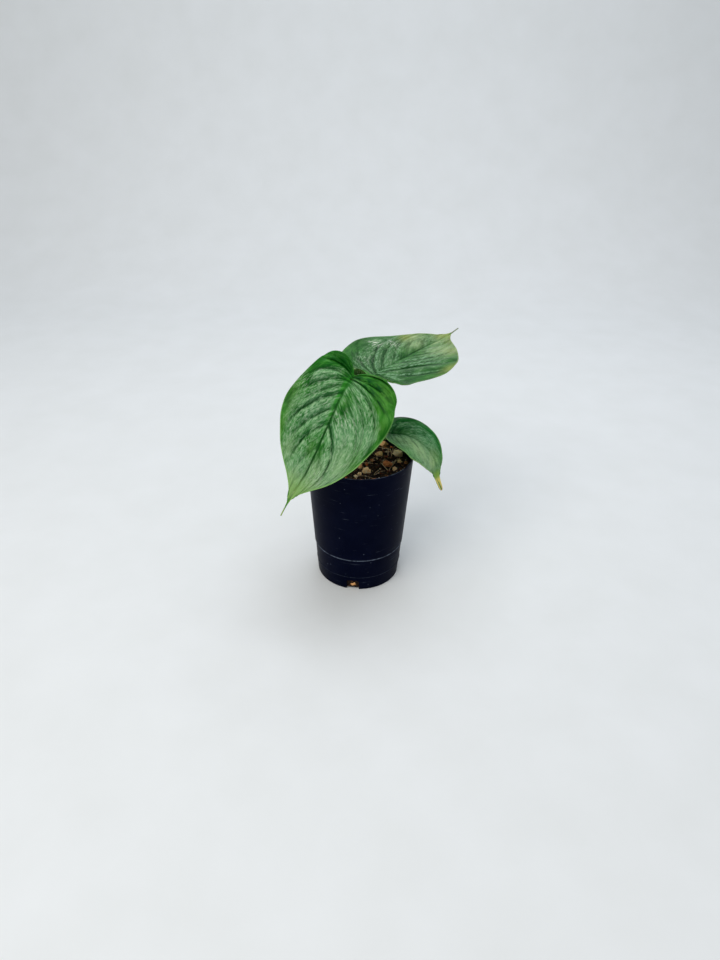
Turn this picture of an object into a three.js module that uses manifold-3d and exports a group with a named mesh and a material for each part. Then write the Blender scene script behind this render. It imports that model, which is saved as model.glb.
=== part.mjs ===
// A young philodendron hybrid in a tall black nursery pot: a short stem with three hanging, heart-shaped leaves.
// Millimetres and degrees. Origin at the middle of the pot's foot, +Z up, the large hanging leaf towards -Y.
import * as THREE from 'three';
import { mergeVertices } from 'three/addons/utils/BufferGeometryUtils.js';
import Module from 'manifold-3d';

const wasm = await Module();
wasm.setup();

// Clearance between pieces that touch.
const gap = 0.3;

const pot = {
  height: 130,
  rimRadius: 49.5,
  footRadius: 40,
  wall: 1.3,
  floor: 1.5,
  shoulderHeight: 36,
  shoulderStep: 0.7,
  lineHeight: 15,
  lineStep: 0.3,
  footRounding: 1,
  sides: 48,
};

// Drain notches at the corner of wall and floor. The first stands a little left of the front. The cutter starts
// below the foot and ends outside the wall by its overcut.
const notch = { count: 4, width: 12, height: 11, depth: 9, topRounding: 3, firstAngle: -97, overcut: [2, 5] };

const mix = { top: 118, crown: 1.6, relief: 0.66, rings: 6, edgeDrop: 3, edgeInset: 0.4 };

// Lumps of bark and pumice that stand out of the mix: those seen beside the leaves, as x, y, length, width, height.
const seenLumps = [
  [23, 36, 7.5, 6.5, 6],
  [18, 15, 6.5, 6, 5.5],
  [36, 15, 11, 8, 6.5],
  [26, -4, 13, 9, 6],
  [6, -18, 8, 7, 6],
  [0, -24, 4.5, 4, 4],
  [-4, -27, 4, 3.5, 3.5],
  [32, -13, 4.5, 4, 4],
  [37, 1, 4.5, 4, 4],
];
const strewnLumps = {
  count: 48,
  smallest: 4.5,
  largest: 11,
  seed: 4127,
  tries: 4000,
  apart: 0.4,
  clearOfStem: 7,
  clearOfAerialRoots: 4,
  clearOfWall: 1.2,
};
// How far each lump's middle stands above the mix, as a share of its height.
const lumpLift = { seen: 0.12, strewn: 0.1 };
// The lump behind the front drain notch.
const notchLump = { angle: -97, radius: 36, height: 6, size: [7.4, 6.29, 6.66] };

// The buried and standing part of the stem. Node heights are where its leaves grow out.
const stem = {
  path: [[-3, 3, 97], [-2.5, 4, 112], [-1.5, 4.5, 130], [0, 4.5, 150]],
  radius: [4.6, 3.5],
  nodes: [123, 132, 140],
  nodeSwell: 0.8,
  nodeSpread: 1.8,
};
const aerialRoots = {
  radius: [1.43, 0.77],
  paths: [
    [[-2, 2, 127], [-9, -4, 125.5], [-13, -9, 119], [-14.5, -11, 104]],
    [[-1, 6, 125], [6, 11, 124.5], [10, 14, 118], [11, 16, 103]],
  ],
};
const roots = {
  crown: [-3, 3, 96.2],
  crownRadius: 5,
  radius: [1.9, 0.8],
  count: 6,
  reach: 27,
  depth: 66,
  firstAngle: 15,
};
// The next leaf, still rolled in its sheath on the stem's tip.
const wrapLeaf = { path: [[0, 4.5, 150.8], [0, 5, 158], [-0.5, 6, 180], [0, 7, 203]], radius: [2.7, 0.6] };
// Segments and sides of the tubes.
const facets = { stem: [22, 10], aerialRoot: [8, 5], crown: [3, 8], root: [6, 5], wrapLeaf: [12, 8], petiole: [24, 9] };

// Half a blade's outline in shares of its length, from the sinus round the lobe to where the drip tip starts.
const halfOutline = [
  [0, 0], [-0.05, 0.045], [-0.09, 0.1], [-0.108, 0.165], [-0.1, 0.23], [-0.065, 0.295], [0, 0.345], [0.09, 0.38],
  [0.2, 0.395], [0.32, 0.39], [0.44, 0.365], [0.56, 0.32], [0.67, 0.26], [0.77, 0.19], [0.86, 0.11], [0.93, 0.05],
];
// Lateral veins: where each leaves the midrib and where it meets the margin, as shares of the blade's length.
const laterals = [
  { rib: 0, margin: -0.1 }, { rib: 0, margin: -0.03 }, { rib: 0.01, margin: 0.09 }, { rib: 0.05, margin: 0.27 },
  { rib: 0.13, margin: 0.5 }, { rib: 0.27, margin: 0.73 }, { rib: 0.44, margin: 0.88 }, { rib: 0.62, margin: 0.95 },
  { rib: 0.8, margin: 0.985 },
];
// Dents narrow a half round fixed places along the blade, each leaf with its own depths.
const blade = {
  thickness: 0.8,
  puff: 1.5,
  ripple: 1.1,
  ribHeight: 0.9,
  lateralBow: 0.28,
  dentPlaces: [-0.06, 0.1, 0.26, 0.42, 0.58, 0.74],
  dentSpread: 0.13,
  rowsPerVein: 3,
  marginSteps: 240,
};
// Places of the grid's columns from the midrib to the margin.
const columns = [0, 0.1, 0.28, 0.48, 0.68, 0.86, 1];

// face: azimuth (0 towards -Y, 90 towards +X) and elevation that the upper side looks to.
// fold, curl (per 100 mm), wide, lobe and dents are given for the two halves.
// tipWidth: half the drip tip's width in mm, at shares of its length.
const leaves = [
  {
    name: 'front',
    rib: [[-6, -23.5, 215.5], [-15, -34.5, 206], [-28, -45, 178.5], [-43.5, -56.5, 145], [-59, -68, 121],
      [-66.5, -73.5, 107.5]],
    dripTip: 16,
    tipWidth: [[0, 1.65], [0.45, 0.55], [1, 0.39]],
    face: [-6.5, 29.5],
    fold: [11, 12.5],
    curl: [-33.5, -34],
    twist: -16,
    wide: [0.98, 1],
    lobe: [0.847, 0.79],
    sinusOpening: 0,
    dents: [[0.177, 0.187, 0.064, 0.011, 0.018, -0.081], [-0.018, -0.02, -0.051, -0.015, -0.031, -0.043]],
    ripples: [2.5, 2],
    petiole: [[-3, 2, 132], [-5, -1, 152], [1, -1, 178], [6.5, 1, 196], [3, 1, 205.3], [-4.2, -2.4, 210.8]],
    petioleEnd: 5,
    petioleRadius: [2.6, 2.3],
  },
  {
    name: 'rear',
    rib: [[8.6, 20, 197.2], [29.7, 43.2, 200.2], [49.9, 67.4, 201.4], [69, 92.5, 201.2], [87, 118.3, 200.9],
      [98.4, 131.5, 203.8]],
    dripTip: 15,
    tipWidth: [[0, 1.65], [0.45, 0.55], [1, 0.39]],
    face: [37, 87.5],
    fold: [8.5, 8.3],
    curl: [-5.5, -25.3],
    twist: -10,
    wide: [1.06, 1.01],
    lobe: [0.576, 0.55],
    sinusOpening: 0.045,
    dents: [[0.025, 0.142, 0.029, 0.033, -0.006, 0.06], [-0.001, 0.021, 0.001, -0.041, 0.215, 0.26]],
    ripples: [2, 3],
    petiole: [[-1, 5, 138], [4.5, 12, 152], [8.5, 18, 176]],
    petioleEnd: 8,
    petioleRadius: [2.5, 1.4],
  },
  {
    name: 'right',
    rib: [[24.9, -5, 152.5], [42.7, -2.6, 149.1], [58.1, -2, 139.2], [68.5, -2.7, 124.2], [72.3, -3.3, 106.3],
      [77.6, -4.6, 92.8]],
    dripTip: 13.5,
    tipWidth: [[0, 3], [0.4, 2.4], [0.8, 1.9], [1, 0.6]],
    face: [33, 85],
    fold: [7, 8.5],
    curl: [-34, -27],
    twist: -27.5,
    wide: [0.95, 0.85],
    lobe: [0.75, 0.351],
    sinusOpening: 0.03,
    dents: [[0.2, 0.04, -0.062, -0.032, -0.04, -0.048], [0.002, 0.02, -0.045, 0.008, 0.032, 0.029]],
    ripples: [2, 2],
    petiole: [[0, 4, 131], [5, 2, 140], [11, -1.5, 146], [18, -4, 147.4]],
    petioleEnd: 4,
    petioleRadius: [2.1, 1.1],
  },
];

const materials = {
  pot: new THREE.MeshStandardMaterial({ color: 0x111319, roughness: 0.42, metalness: 0 }),
  mix: new THREE.MeshStandardMaterial({ color: 0x3a2a1e, roughness: 0.95, metalness: 0 }),
  stem: new THREE.MeshStandardMaterial({ color: 0x6c7a3c, roughness: 0.6, metalness: 0 }),
  roots: new THREE.MeshStandardMaterial({ color: 0xb09468, roughness: 0.85, metalness: 0 }),
  wrapLeaf: new THREE.MeshStandardMaterial({ color: 0x9aa860, roughness: 0.5, metalness: 0 }),
  petiole: new THREE.MeshStandardMaterial({ color: 0x7d8f4a, roughness: 0.55, metalness: 0 }),
  blade: new THREE.MeshStandardMaterial({ color: 0x5c8a5a, roughness: 0.45, metalness: 0 }),
};

const radians = THREE.MathUtils.degToRad;
const point = ([x, y, z]) => new THREE.Vector3(x, y, z);

// The same row of random numbers each time.
function randomNumbers(seed) {
  let state = seed;
  return () => {
    state = (state * 16807) % 2147483647;
    return state / 2147483647;
  };
}

function interpolate(places, values, at) {
  let k = 1;
  while (k < places.length - 1 && places[k] < at) k += 1;
  const share = THREE.MathUtils.clamp((at - places[k - 1]) / (places[k] - places[k - 1]), 0, 1);
  return values[k - 1] + (values[k] - values[k - 1]) * share;
}

function asSolid(geometry) {
  const bare = geometry.clone();
  bare.deleteAttribute('normal');
  bare.deleteAttribute('uv');
  const merged = mergeVertices(bare, 1e-4);
  const corners = merged.index.array;
  const kept = [];
  for (let k = 0; k < corners.length; k += 3) {
    const [a, b, c] = corners.slice(k, k + 3);
    if (a !== b && b !== c && c !== a) kept.push(a, b, c);
  }
  const mesh = new wasm.Mesh({
    numProp: 3,
    vertProperties: new Float32Array(merged.attributes.position.array),
    triVerts: new Uint32Array(kept),
  });
  return new wasm.Manifold(mesh);
}

function asGeometry(solid) {
  const mesh = solid.getMesh();
  const geometry = new THREE.BufferGeometry();
  geometry.setAttribute('position', new THREE.BufferAttribute(new Float32Array(mesh.vertProperties), 3));
  geometry.setIndex(new THREE.BufferAttribute(new Uint32Array(mesh.triVerts), 1));
  geometry.computeVertexNormals();
  return geometry;
}

// A round solid from an outline of [radius, height] points that starts and ends on the axis.
function turned(outline, sides) {
  const points = outline.map(([radius, height]) => new THREE.Vector2(radius, height));
  return new THREE.LatheGeometry(points, sides).rotateX(Math.PI / 2);
}

// A closed tube along points, its radius given along it from 0 to 1.
function tube(path, radiusAt, [segments, sides]) {
  const curve = new THREE.CatmullRomCurve3(path.map(point));
  const frames = curve.computeFrenetFrames(segments, false);
  const positions = [];
  const indices = [];
  for (let i = 0; i <= segments; i += 1) {
    const centre = curve.getPointAt(i / segments);
    const radius = radiusAt(i / segments, centre);
    for (let j = 0; j < sides; j += 1) {
      const turn = (2 * Math.PI * j) / sides;
      const spoke = frames.normals[i].clone().multiplyScalar(Math.cos(turn) * radius)
        .addScaledVector(frames.binormals[i], Math.sin(turn) * radius);
      positions.push(...centre.clone().add(spoke).toArray());
    }
  }
  const ends = [0, segments].map((i) => {
    positions.push(...curve.getPointAt(i / segments).toArray());
    return positions.length / 3 - 1;
  });
  for (let j = 0; j < sides; j += 1) {
    const next = (j + 1) % sides;
    for (let i = 0; i < segments; i += 1) {
      const [a, b] = [i * sides + j, i * sides + next];
      const [c, d] = [b + sides, a + sides];
      indices.push(a, b, c, a, c, d);
    }
    const last = segments * sides;
    indices.push(ends[0], next, j, ends[1], last + j, last + next);
  }
  const geometry = new THREE.BufferGeometry();
  geometry.setAttribute('position', new THREE.Float32BufferAttribute(positions, 3));
  geometry.setIndex(indices);
  return geometry;
}

const between = ([from, to]) => (share) => from + (to - from) * share;
const widened = (radiusAt, by) => (share, centre) => radiusAt(share, centre) + by;

// The path with both ends moved outward, for the hole that a tube stands in.
function lengthened(path, by) {
  const moved = path.map(point);
  const shift = (end, next) => moved[end].add(moved[end].clone().sub(moved[next]).setLength(by));
  if (by > 0) {
    shift(0, 1);
    shift(moved.length - 1, moved.length - 2);
  }
  return moved.map((p) => p.toArray());
}

// The pot's outer radius, with the stacking shoulder and the faint line below it.
function potRadius(height) {
  const slope = (pot.rimRadius - pot.footRadius - pot.shoulderStep) / pot.height;
  return pot.footRadius + slope * height + (height > pot.shoulderHeight ? pot.shoulderStep : 0);
}

function drainNotches() {
  const half = notch.width / 2;
  const rounding = notch.topRounding;
  const turnHeight = notch.height - rounding;
  const [under, outside] = notch.overcut;
  const shape = new THREE.Shape();
  shape.moveTo(-half, -under);
  shape.lineTo(half, -under);
  shape.lineTo(half, turnHeight);
  shape.absarc(half - rounding, turnHeight, rounding, 0, Math.PI / 2);
  shape.absarc(-half + rounding, turnHeight, rounding, Math.PI / 2, Math.PI);
  const settings = { depth: notch.depth + outside, bevelEnabled: false, curveSegments: 4 };
  const solids = [];
  for (let k = 0; k < notch.count; k += 1) {
    const geometry = new THREE.ExtrudeGeometry(shape, settings);
    geometry.rotateX(Math.PI / 2).translate(0, -(pot.footRadius - notch.depth), 0);
    geometry.rotateZ(radians(notch.firstAngle + 90 + (360 / notch.count) * k));
    solids.push(asSolid(geometry));
  }
  return solids;
}

function makePot() {
  const { height, wall, floor, shoulderHeight, shoulderStep, lineHeight, lineStep, footRounding } = pot;
  const rimInner = potRadius(height) - wall;
  const innerTop = potRadius(shoulderHeight + 1) - wall;
  const innerBelow = potRadius(shoulderHeight - 1) - wall;
  const outline = [
    [0, 0],
    [pot.footRadius - footRounding, 0],
    [pot.footRadius, footRounding],
    [potRadius(lineHeight - 0.5), lineHeight - 0.5],
    [potRadius(lineHeight) + lineStep, lineHeight],
    [potRadius(lineHeight + 0.5), lineHeight + 0.5],
    [potRadius(shoulderHeight) + 0.02, shoulderHeight - 0.4],
    [potRadius(shoulderHeight) + shoulderStep, shoulderHeight + 0.5],
    [pot.rimRadius, height - 0.7],
    [pot.rimRadius - 0.4, height],
    [rimInner + 0.3, height],
    [rimInner, height - 0.7],
    [innerTop, shoulderHeight + 1],
    [innerBelow, shoulderHeight - 1],
    [potRadius(floor) - wall, floor],
    [0, floor],
  ];
  let solid = asSolid(turned(outline, pot.sides));
  for (const cut of drainNotches()) solid = solid.subtract(cut);
  return asGeometry(solid);
}

// Height of the mix at a place: a slight crown and a few crossing waves.
function mixHeight(x, y) {
  const out = Math.hypot(x, y) / pot.rimRadius;
  const waves = Math.sin(0.31 * x + 0.9) * Math.cos(0.27 * y - 0.4) + 0.6 * Math.sin(0.17 * x - 0.43 * y + 2);
  return mix.top + mix.crown * (1 - out * out) + mix.relief * waves;
}

// A stone-like lump: a twenty-sided ball, squeezed, turned and dented a little.
function lump(centre, size, random) {
  const geometry = new THREE.IcosahedronGeometry(0.5, 0);
  geometry.deleteAttribute('normal');
  geometry.deleteAttribute('uv');
  const merged = mergeVertices(geometry, 1e-4);
  const position = merged.attributes.position;
  for (let k = 0; k < position.count; k += 1) {
    const stretch = 0.82 + 0.3 * random();
    position.setXYZ(k, position.getX(k) * stretch, position.getY(k) * stretch, position.getZ(k) * stretch);
  }
  merged.scale(...size);
  merged.rotateX(0.5 * (random() - 0.5)).rotateY(0.5 * (random() - 0.5)).rotateZ(2 * Math.PI * random());
  return asSolid(merged.translate(...centre));
}

function lumps() {
  const { count, smallest, largest, seed, apart, clearOfStem, clearOfAerialRoots, clearOfWall } = strewnLumps;
  const random = randomNumbers(seed);
  const solids = [];
  const taken = [];
  for (const [x, y, length, width, height] of seenLumps) {
    solids.push(lump([x, y, mixHeight(x, y) + height * lumpLift.seen], [length, width, height], random));
    taken.push([x, y, length / 2]);
  }
  const reach = potRadius(mix.top) - pot.wall - clearOfWall;
  for (let k = 0; k < strewnLumps.tries && taken.length < seenLumps.length + count; k += 1) {
    const out = reach * Math.sqrt(random());
    const turn = 2 * Math.PI * random();
    const size = smallest + (largest - smallest) * random() ** 2;
    const [x, y] = [out * Math.cos(turn), out * Math.sin(turn)];
    const clear = taken.every(([a, b, r]) => Math.hypot(a - x, b - y) > r + size / 2 + apart);
    const offStem = Math.hypot(x - stem.path[0][0], y - stem.path[0][1]) > clearOfStem + size / 2;
    const offRoots = aerialRoots.paths.every((path) => (
      Math.hypot(path[2][0] - x, path[2][1] - y) > clearOfAerialRoots + size / 2
    ));
    if (clear && offStem && offRoots && out + size * 0.6 < reach) {
      const form = [size, size * (0.65 + 0.3 * random()), size * (0.5 + 0.25 * random())];
      solids.push(lump([x, y, mixHeight(x, y) + form[2] * lumpLift.strewn], form, random));
      taken.push([x, y, size / 2]);
    }
  }
  const turn = radians(notchLump.angle);
  const place = [notchLump.radius * Math.cos(turn), notchLump.radius * Math.sin(turn), notchLump.height];
  solids.push(lump(place, notchLump.size, random));
  return solids;
}

function stemRadius(share, centre) {
  const [low, high] = stem.radius;
  let radius = low + (high - low) * share;
  for (const height of stem.nodes) {
    radius += stem.nodeSwell * Math.exp(-(((centre.z - height) / stem.nodeSpread) ** 2));
  }
  return radius;
}

function stemSolid(widen) {
  let solid = asSolid(tube(lengthened(stem.path, widen), widened(stemRadius, widen), facets.stem));
  for (const path of aerialRoots.paths) {
    const radiusAt = widened(between(aerialRoots.radius), widen);
    solid = solid.add(asSolid(tube(lengthened(path, widen), radiusAt, facets.aerialRoot)));
  }
  return solid;
}

// A crown with thick roots that spread down and outward through the mix.
function rootsSolid(widen) {
  const [x, y, z] = roots.crown;
  const crownPath = lengthened([[x, y, z - 9], [x, y, z - 5], [x, y, z]], widen);
  const crownRadius = widened(between([roots.crownRadius * 0.7, roots.crownRadius]), widen);
  let solid = asSolid(tube(crownPath, crownRadius, facets.crown));
  for (let k = 0; k < roots.count; k += 1) {
    const turn = radians(roots.firstAngle + (360 / roots.count) * k);
    const reach = roots.reach * (k % 2 ? 0.7 : 1);
    const depth = roots.depth * (k % 2 ? 1 : 0.75);
    const at = (out, down) => [x + out * Math.cos(turn), y + out * Math.sin(turn), z - down];
    const path = [at(1, 6), at(reach * 0.45, 16), at(reach * 0.8, depth * 0.5), at(reach, depth)];
    solid = solid.add(asSolid(tube(lengthened(path, widen), widened(between(roots.radius), widen), facets.root)));
  }
  return solid;
}

function makeMix() {
  const { floor, wall, shoulderHeight } = pot;
  const inside = (height) => potRadius(height) - wall - gap;
  const bottom = floor + gap;
  const edge = mix.top - mix.edgeDrop;
  const outline = [
    [0, bottom],
    [inside(bottom), bottom],
    [inside(shoulderHeight - 0.9), shoulderHeight - 0.9],
    [inside(shoulderHeight + 1), shoulderHeight + 1.4],
    [inside(edge), edge],
  ];
  for (let k = 0; k < mix.rings; k += 1) outline.push([(inside(edge) - mix.edgeInset) * (1 - k / mix.rings), mix.top]);
  outline.push([0, mix.top]);
  const geometry = turned(outline, pot.sides);
  const position = geometry.attributes.position;
  for (let k = 0; k < position.count; k += 1) {
    if (position.getZ(k) > mix.top - 1) position.setZ(k, mixHeight(position.getX(k), position.getY(k)));
  }
  let solid = asSolid(geometry);
  for (const piece of lumps()) solid = solid.add(piece);
  return asGeometry(solid.subtract(stemSolid(gap).add(rootsSolid(gap))));
}

// The half outline of one leaf in mm, with its drip tip, and the length along it at each point.
function marginOf(leaf, length, half) {
  const points = halfOutline.map(([x, y]) => {
    const atBase = 1 - THREE.MathUtils.clamp((x + 0.05) / 0.2, 0, 1);
    const opening = leaf.sinusOpening * (y / 0.1) * Math.exp(1 - y / 0.1) * atBase;
    let across = leaf.wide[half];
    blade.dentPlaces.forEach((place, k) => {
      across -= leaf.wide[half] * leaf.dents[half][k] * Math.exp(-(((x - place) / blade.dentSpread) ** 2));
    });
    return new THREE.Vector2(((x < 0 ? x * leaf.lobe[half] : x) + opening) * length, y * across * length);
  });
  for (const [share, width] of leaf.tipWidth) points.push(new THREE.Vector2(length + leaf.dripTip * share, width));
  const line = new THREE.SplineCurve(points).getPoints(blade.marginSteps);
  const along = [0];
  for (let k = 1; k < line.length; k += 1) along.push(along[k - 1] + line[k].distanceTo(line[k - 1]));
  const total = along[along.length - 1];
  return { line, share: along.map((value) => value / total) };
}

// The blade as a bent sheet: a midrib curve, and two halves that fold and curl away from it.
function sheetOf(leaf) {
  const rib = new THREE.CatmullRomCurve3(leaf.rib.map(point), false, 'catmullrom', 0.5);
  rib.arcLengthDivisions = 400;
  const ribLength = rib.getLength();
  const length = ribLength - leaf.dripTip;
  const [azimuth, elevation] = leaf.face.map(radians);
  const facing = new THREE.Vector3(
    Math.sin(azimuth) * Math.cos(elevation),
    -Math.cos(azimuth) * Math.cos(elevation),
    Math.sin(elevation),
  );
  const frameAt = (x) => {
    const share = THREE.MathUtils.clamp(x / ribLength, 0, 1);
    const along = rib.getTangentAt(share);
    const side = new THREE.Vector3().crossVectors(along, facing).normalize();
    const up = new THREE.Vector3().crossVectors(side, along);
    const turn = (radians(leaf.twist) * THREE.MathUtils.clamp(x, 0, ribLength)) / length;
    const turnedSide = side.clone().multiplyScalar(Math.cos(turn)).addScaledVector(up, Math.sin(turn));
    const turnedUp = up.clone().multiplyScalar(Math.cos(turn)).addScaledVector(side, -Math.sin(turn));
    const middle = rib.getPointAt(share).addScaledVector(along, Math.min(x, 0));
    return { middle, side: turnedSide, up: turnedUp };
  };
  // x along the midrib, y across; the upper side's normal is bent with the half.
  const at = (x, y, half) => {
    const { middle, side, up } = frameAt(x);
    const sign = half === 0 ? 1 : -1;
    const fold = radians(leaf.fold[half]);
    const curl = radians(leaf.curl[half]) / 100;
    const angle = fold + curl * y;
    const out = (Math.sin(angle) - Math.sin(fold)) / curl;
    const rise = (Math.cos(fold) - Math.cos(angle)) / curl;
    const place = middle.clone().addScaledVector(side, sign * out).addScaledVector(up, rise);
    const lean = y > 0.01 ? angle : 0;
    const normal = up.clone().multiplyScalar(Math.cos(lean)).addScaledVector(side, -sign * Math.sin(lean));
    return { place, normal };
  };
  return { at, length, ribLength };
}

// The grid of one half: lines follow the lateral veins from the midrib to the margin.
function halfGrid(leaf, sheet, half) {
  const { length, ribLength } = sheet;
  const margin = marginOf(leaf, length, half);
  const shareWhere = (x, from) => {
    let k = from;
    while (k < margin.line.length - 1 && margin.line[k].x < x) k += 1;
    return margin.share[k];
  };
  const lobeEnd = margin.line.reduce((best, p, k) => (p.x < margin.line[best].x ? k : best), 0);
  const veins = [{ rib: 0, share: 0 }];
  laterals.forEach(({ rib, margin: place }, k) => {
    const end = place * (place < 0 ? leaf.lobe[half] : 1) * length;
    veins.push({ rib: rib * length, share: k === 0 ? margin.share[lobeEnd] : shareWhere(end, lobeEnd) });
  });
  const inDrip = length + leaf.dripTip * 0.3;
  veins.push({ rib: inDrip, share: shareWhere(inDrip, lobeEnd) });
  veins.push({ rib: ribLength, share: 1 });
  const rows = (veins.length - 1) * blade.rowsPerVein;
  const xs = margin.line.map((p) => p.x);
  const ys = margin.line.map((p) => p.y);
  const lines = [];
  for (let i = 0; i <= rows; i += 1) {
    const step = i / blade.rowsPerVein;
    const k = Math.min(Math.floor(step), veins.length - 2);
    const inSpan = step - k;
    const ribPlace = THREE.MathUtils.lerp(veins[k].rib, veins[k + 1].rib, inSpan);
    const share = THREE.MathUtils.lerp(veins[k].share, veins[k + 1].share, inSpan);
    const start = new THREE.Vector2(ribPlace, 0);
    const end = new THREE.Vector2(interpolate(margin.share, xs, share), interpolate(margin.share, ys, share));
    const beforeTip = ribPlace < length ? 1 : 0;
    const bow = blade.lateralBow * THREE.MathUtils.smoothstep(ribPlace / length, 0, 0.25) * beforeTip;
    const run = end.clone().sub(start);
    const bend = start.clone().addScaledVector(run, 0.5).add(new THREE.Vector2(-run.y, run.x).multiplyScalar(bow));
    const curve = new THREE.QuadraticBezierCurve(start, bend, end);
    const inner = THREE.MathUtils.smoothstep(i, 0, 4) * (1 - THREE.MathUtils.smoothstep(ribPlace / length, 0.7, 1));
    const swell = blade.puff * inner * Math.sin(Math.PI * inSpan) ** 0.7;
    const wave = blade.ripple * inner * Math.sin(2 * Math.PI * leaf.ripples[half] * share + half);
    lines.push({ curve, swell, wave });
  }
  return lines;
}

function makeBlade(leaf) {
  const sheet = sheetOf(leaf);
  const positions = [];
  const indices = [];
  const lastColumn = columns.length - 1;
  const ids = [];
  for (const half of [0, 1]) {
    const lines = halfGrid(leaf, sheet, half);
    ids.push(lines.map(({ curve, swell, wave }, i) => columns.map((w, j) => {
      const start = curve.v0;
      const atJoint = i === 0 || (j === 0 && start.x === 0);
      if (atJoint && (half === 1 || i > 0)) return 0;
      if (half === 1 && (j === 0 || i === lines.length - 1)) return ids[0][i][0];
      if (i === lines.length - 1 && j > 0) return positions.length / 6 - 1;
      if (i === 0 && j > 0) return 0;
      const flat = curve.getPoint(w);
      const { place, normal } = sheet.at(flat.x, Math.max(flat.y, 0), half);
      const lift = swell * Math.sin(Math.PI * w) ** 0.6 + wave * w * w;
      const ribShare = THREE.MathUtils.clamp(start.x / sheet.ribLength, 0, 1);
      const keel = j === 0 ? blade.ribHeight * (1 - ribShare) : 0;
      positions.push(...place.clone().addScaledVector(normal, lift + blade.thickness / 2).toArray());
      positions.push(...place.clone().addScaledVector(normal, lift - blade.thickness / 2 - keel).toArray());
      return positions.length / 6 - 1;
    })));
  }
  const top = (id) => 2 * id;
  const under = (id) => 2 * id + 1;
  const push = (a, b, c) => {
    if (a !== b && b !== c && c !== a) indices.push(a, b, c);
  };
  for (const half of [0, 1]) {
    const grid = ids[half];
    for (let i = 0; i < grid.length - 1; i += 1) {
      for (let j = 0; j < lastColumn; j += 1) {
        const corners = [grid[i][j], grid[i + 1][j], grid[i + 1][j + 1], grid[i][j + 1]];
        const [a, b, c, d] = half === 0 ? corners : [corners[0], corners[3], corners[2], corners[1]];
        push(top(a), top(c), top(b));
        push(top(a), top(d), top(c));
        push(under(a), under(b), under(c));
        push(under(a), under(c), under(d));
      }
      const edge = [grid[i][lastColumn], grid[i + 1][lastColumn]];
      const [d, c] = half === 0 ? edge : [edge[1], edge[0]];
      push(top(c), top(d), under(d));
      push(top(c), under(d), under(c));
    }
  }
  const geometry = new THREE.BufferGeometry();
  geometry.setAttribute('position', new THREE.Float32BufferAttribute(positions, 3));
  geometry.setIndex(indices);
  geometry.computeVertexNormals();
  return geometry;
}

// The leaf's stalk: out of the stem, up, and into the underside of the blade just behind the sinus.
function makePetiole(leaf) {
  const { at } = sheetOf(leaf);
  const { place, normal } = at(leaf.petioleRadius[1] * 0.9, 0, 0);
  const below = blade.thickness / 2 + blade.ribHeight + gap;
  const top = place.clone().addScaledVector(normal, -below);
  const bend = place.clone().addScaledVector(normal, -leaf.petioleEnd);
  const path = [...leaf.petiole, bend.toArray(), top.toArray()];
  const [base, end] = leaf.petioleRadius;
  const sheath = (share) => end + (base - end) * Math.exp(-share * 7) + 0.25 * (1 - share);
  return asGeometry(asSolid(tube(path, sheath, facets.petiole)).subtract(stemSolid(gap)));
}

function addMesh(group, name, geometry, material) {
  const mesh = new THREE.Mesh(geometry, material);
  mesh.name = name;
  group.add(mesh);
}

const group = new THREE.Group();
addMesh(group, 'pot', makePot(), materials.pot);
addMesh(group, 'potting_mix', makeMix(), materials.mix);
addMesh(group, 'roots', asGeometry(rootsSolid(0)), materials.roots);
addMesh(group, 'stem', asGeometry(stemSolid(0)), materials.stem);
addMesh(group, 'wrap_leaf', tube(wrapLeaf.path, between(wrapLeaf.radius), facets.wrapLeaf), materials.wrapLeaf);
for (const leaf of leaves) {
  addMesh(group, `petiole_${leaf.name}`, makePetiole(leaf), materials.petiole);
  addMesh(group, `blade_${leaf.name}`, makeBlade(leaf), materials.blade);
}

export default group;
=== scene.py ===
# A young philodendron hybrid in a black nursery pot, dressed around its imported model: leaves with sunken
# veins and silver streaks, stalks, the stem with its roots, the potting mix and the pot. Metres, +Z up.
import math
import bpy
import numpy as np
from mathutils import Euler, Matrix, Vector, noise


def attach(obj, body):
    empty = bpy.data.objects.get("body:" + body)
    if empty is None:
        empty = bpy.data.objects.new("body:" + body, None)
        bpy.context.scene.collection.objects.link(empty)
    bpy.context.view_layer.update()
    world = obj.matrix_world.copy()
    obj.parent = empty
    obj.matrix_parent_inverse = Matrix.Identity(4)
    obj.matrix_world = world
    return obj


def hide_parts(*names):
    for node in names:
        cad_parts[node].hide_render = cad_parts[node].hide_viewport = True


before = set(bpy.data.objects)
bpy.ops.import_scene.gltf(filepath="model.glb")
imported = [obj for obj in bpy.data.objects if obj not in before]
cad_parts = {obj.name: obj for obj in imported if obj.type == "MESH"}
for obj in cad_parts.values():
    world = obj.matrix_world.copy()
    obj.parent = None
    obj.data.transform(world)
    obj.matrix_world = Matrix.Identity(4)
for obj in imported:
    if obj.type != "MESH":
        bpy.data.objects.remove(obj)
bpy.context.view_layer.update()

mm = 0.001
doublesApart = 0.000002
print("scene: packed model loaded,", len(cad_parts), "nodes")


# Shared tools

def clearSelection():
    if bpy.context.object and bpy.context.object.mode != "OBJECT":
        bpy.ops.object.mode_set(mode="OBJECT")
    bpy.ops.object.select_all(action="DESELECT")


def pick(*objects):  # selects these alone, the first one active
    clearSelection()
    for one in objects:
        one.select_set(True)
    bpy.context.view_layer.objects.active = objects[0]


def selectEdges(mesh, wanted):  # the edges whose two ends pass the test, and nothing else
    for group in (mesh.vertices, mesh.polygons):
        for one in group:
            one.select = False
    for edge in mesh.edges:
        edge.select = wanted(*(mesh.vertices[k].co for k in edge.vertices))


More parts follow.
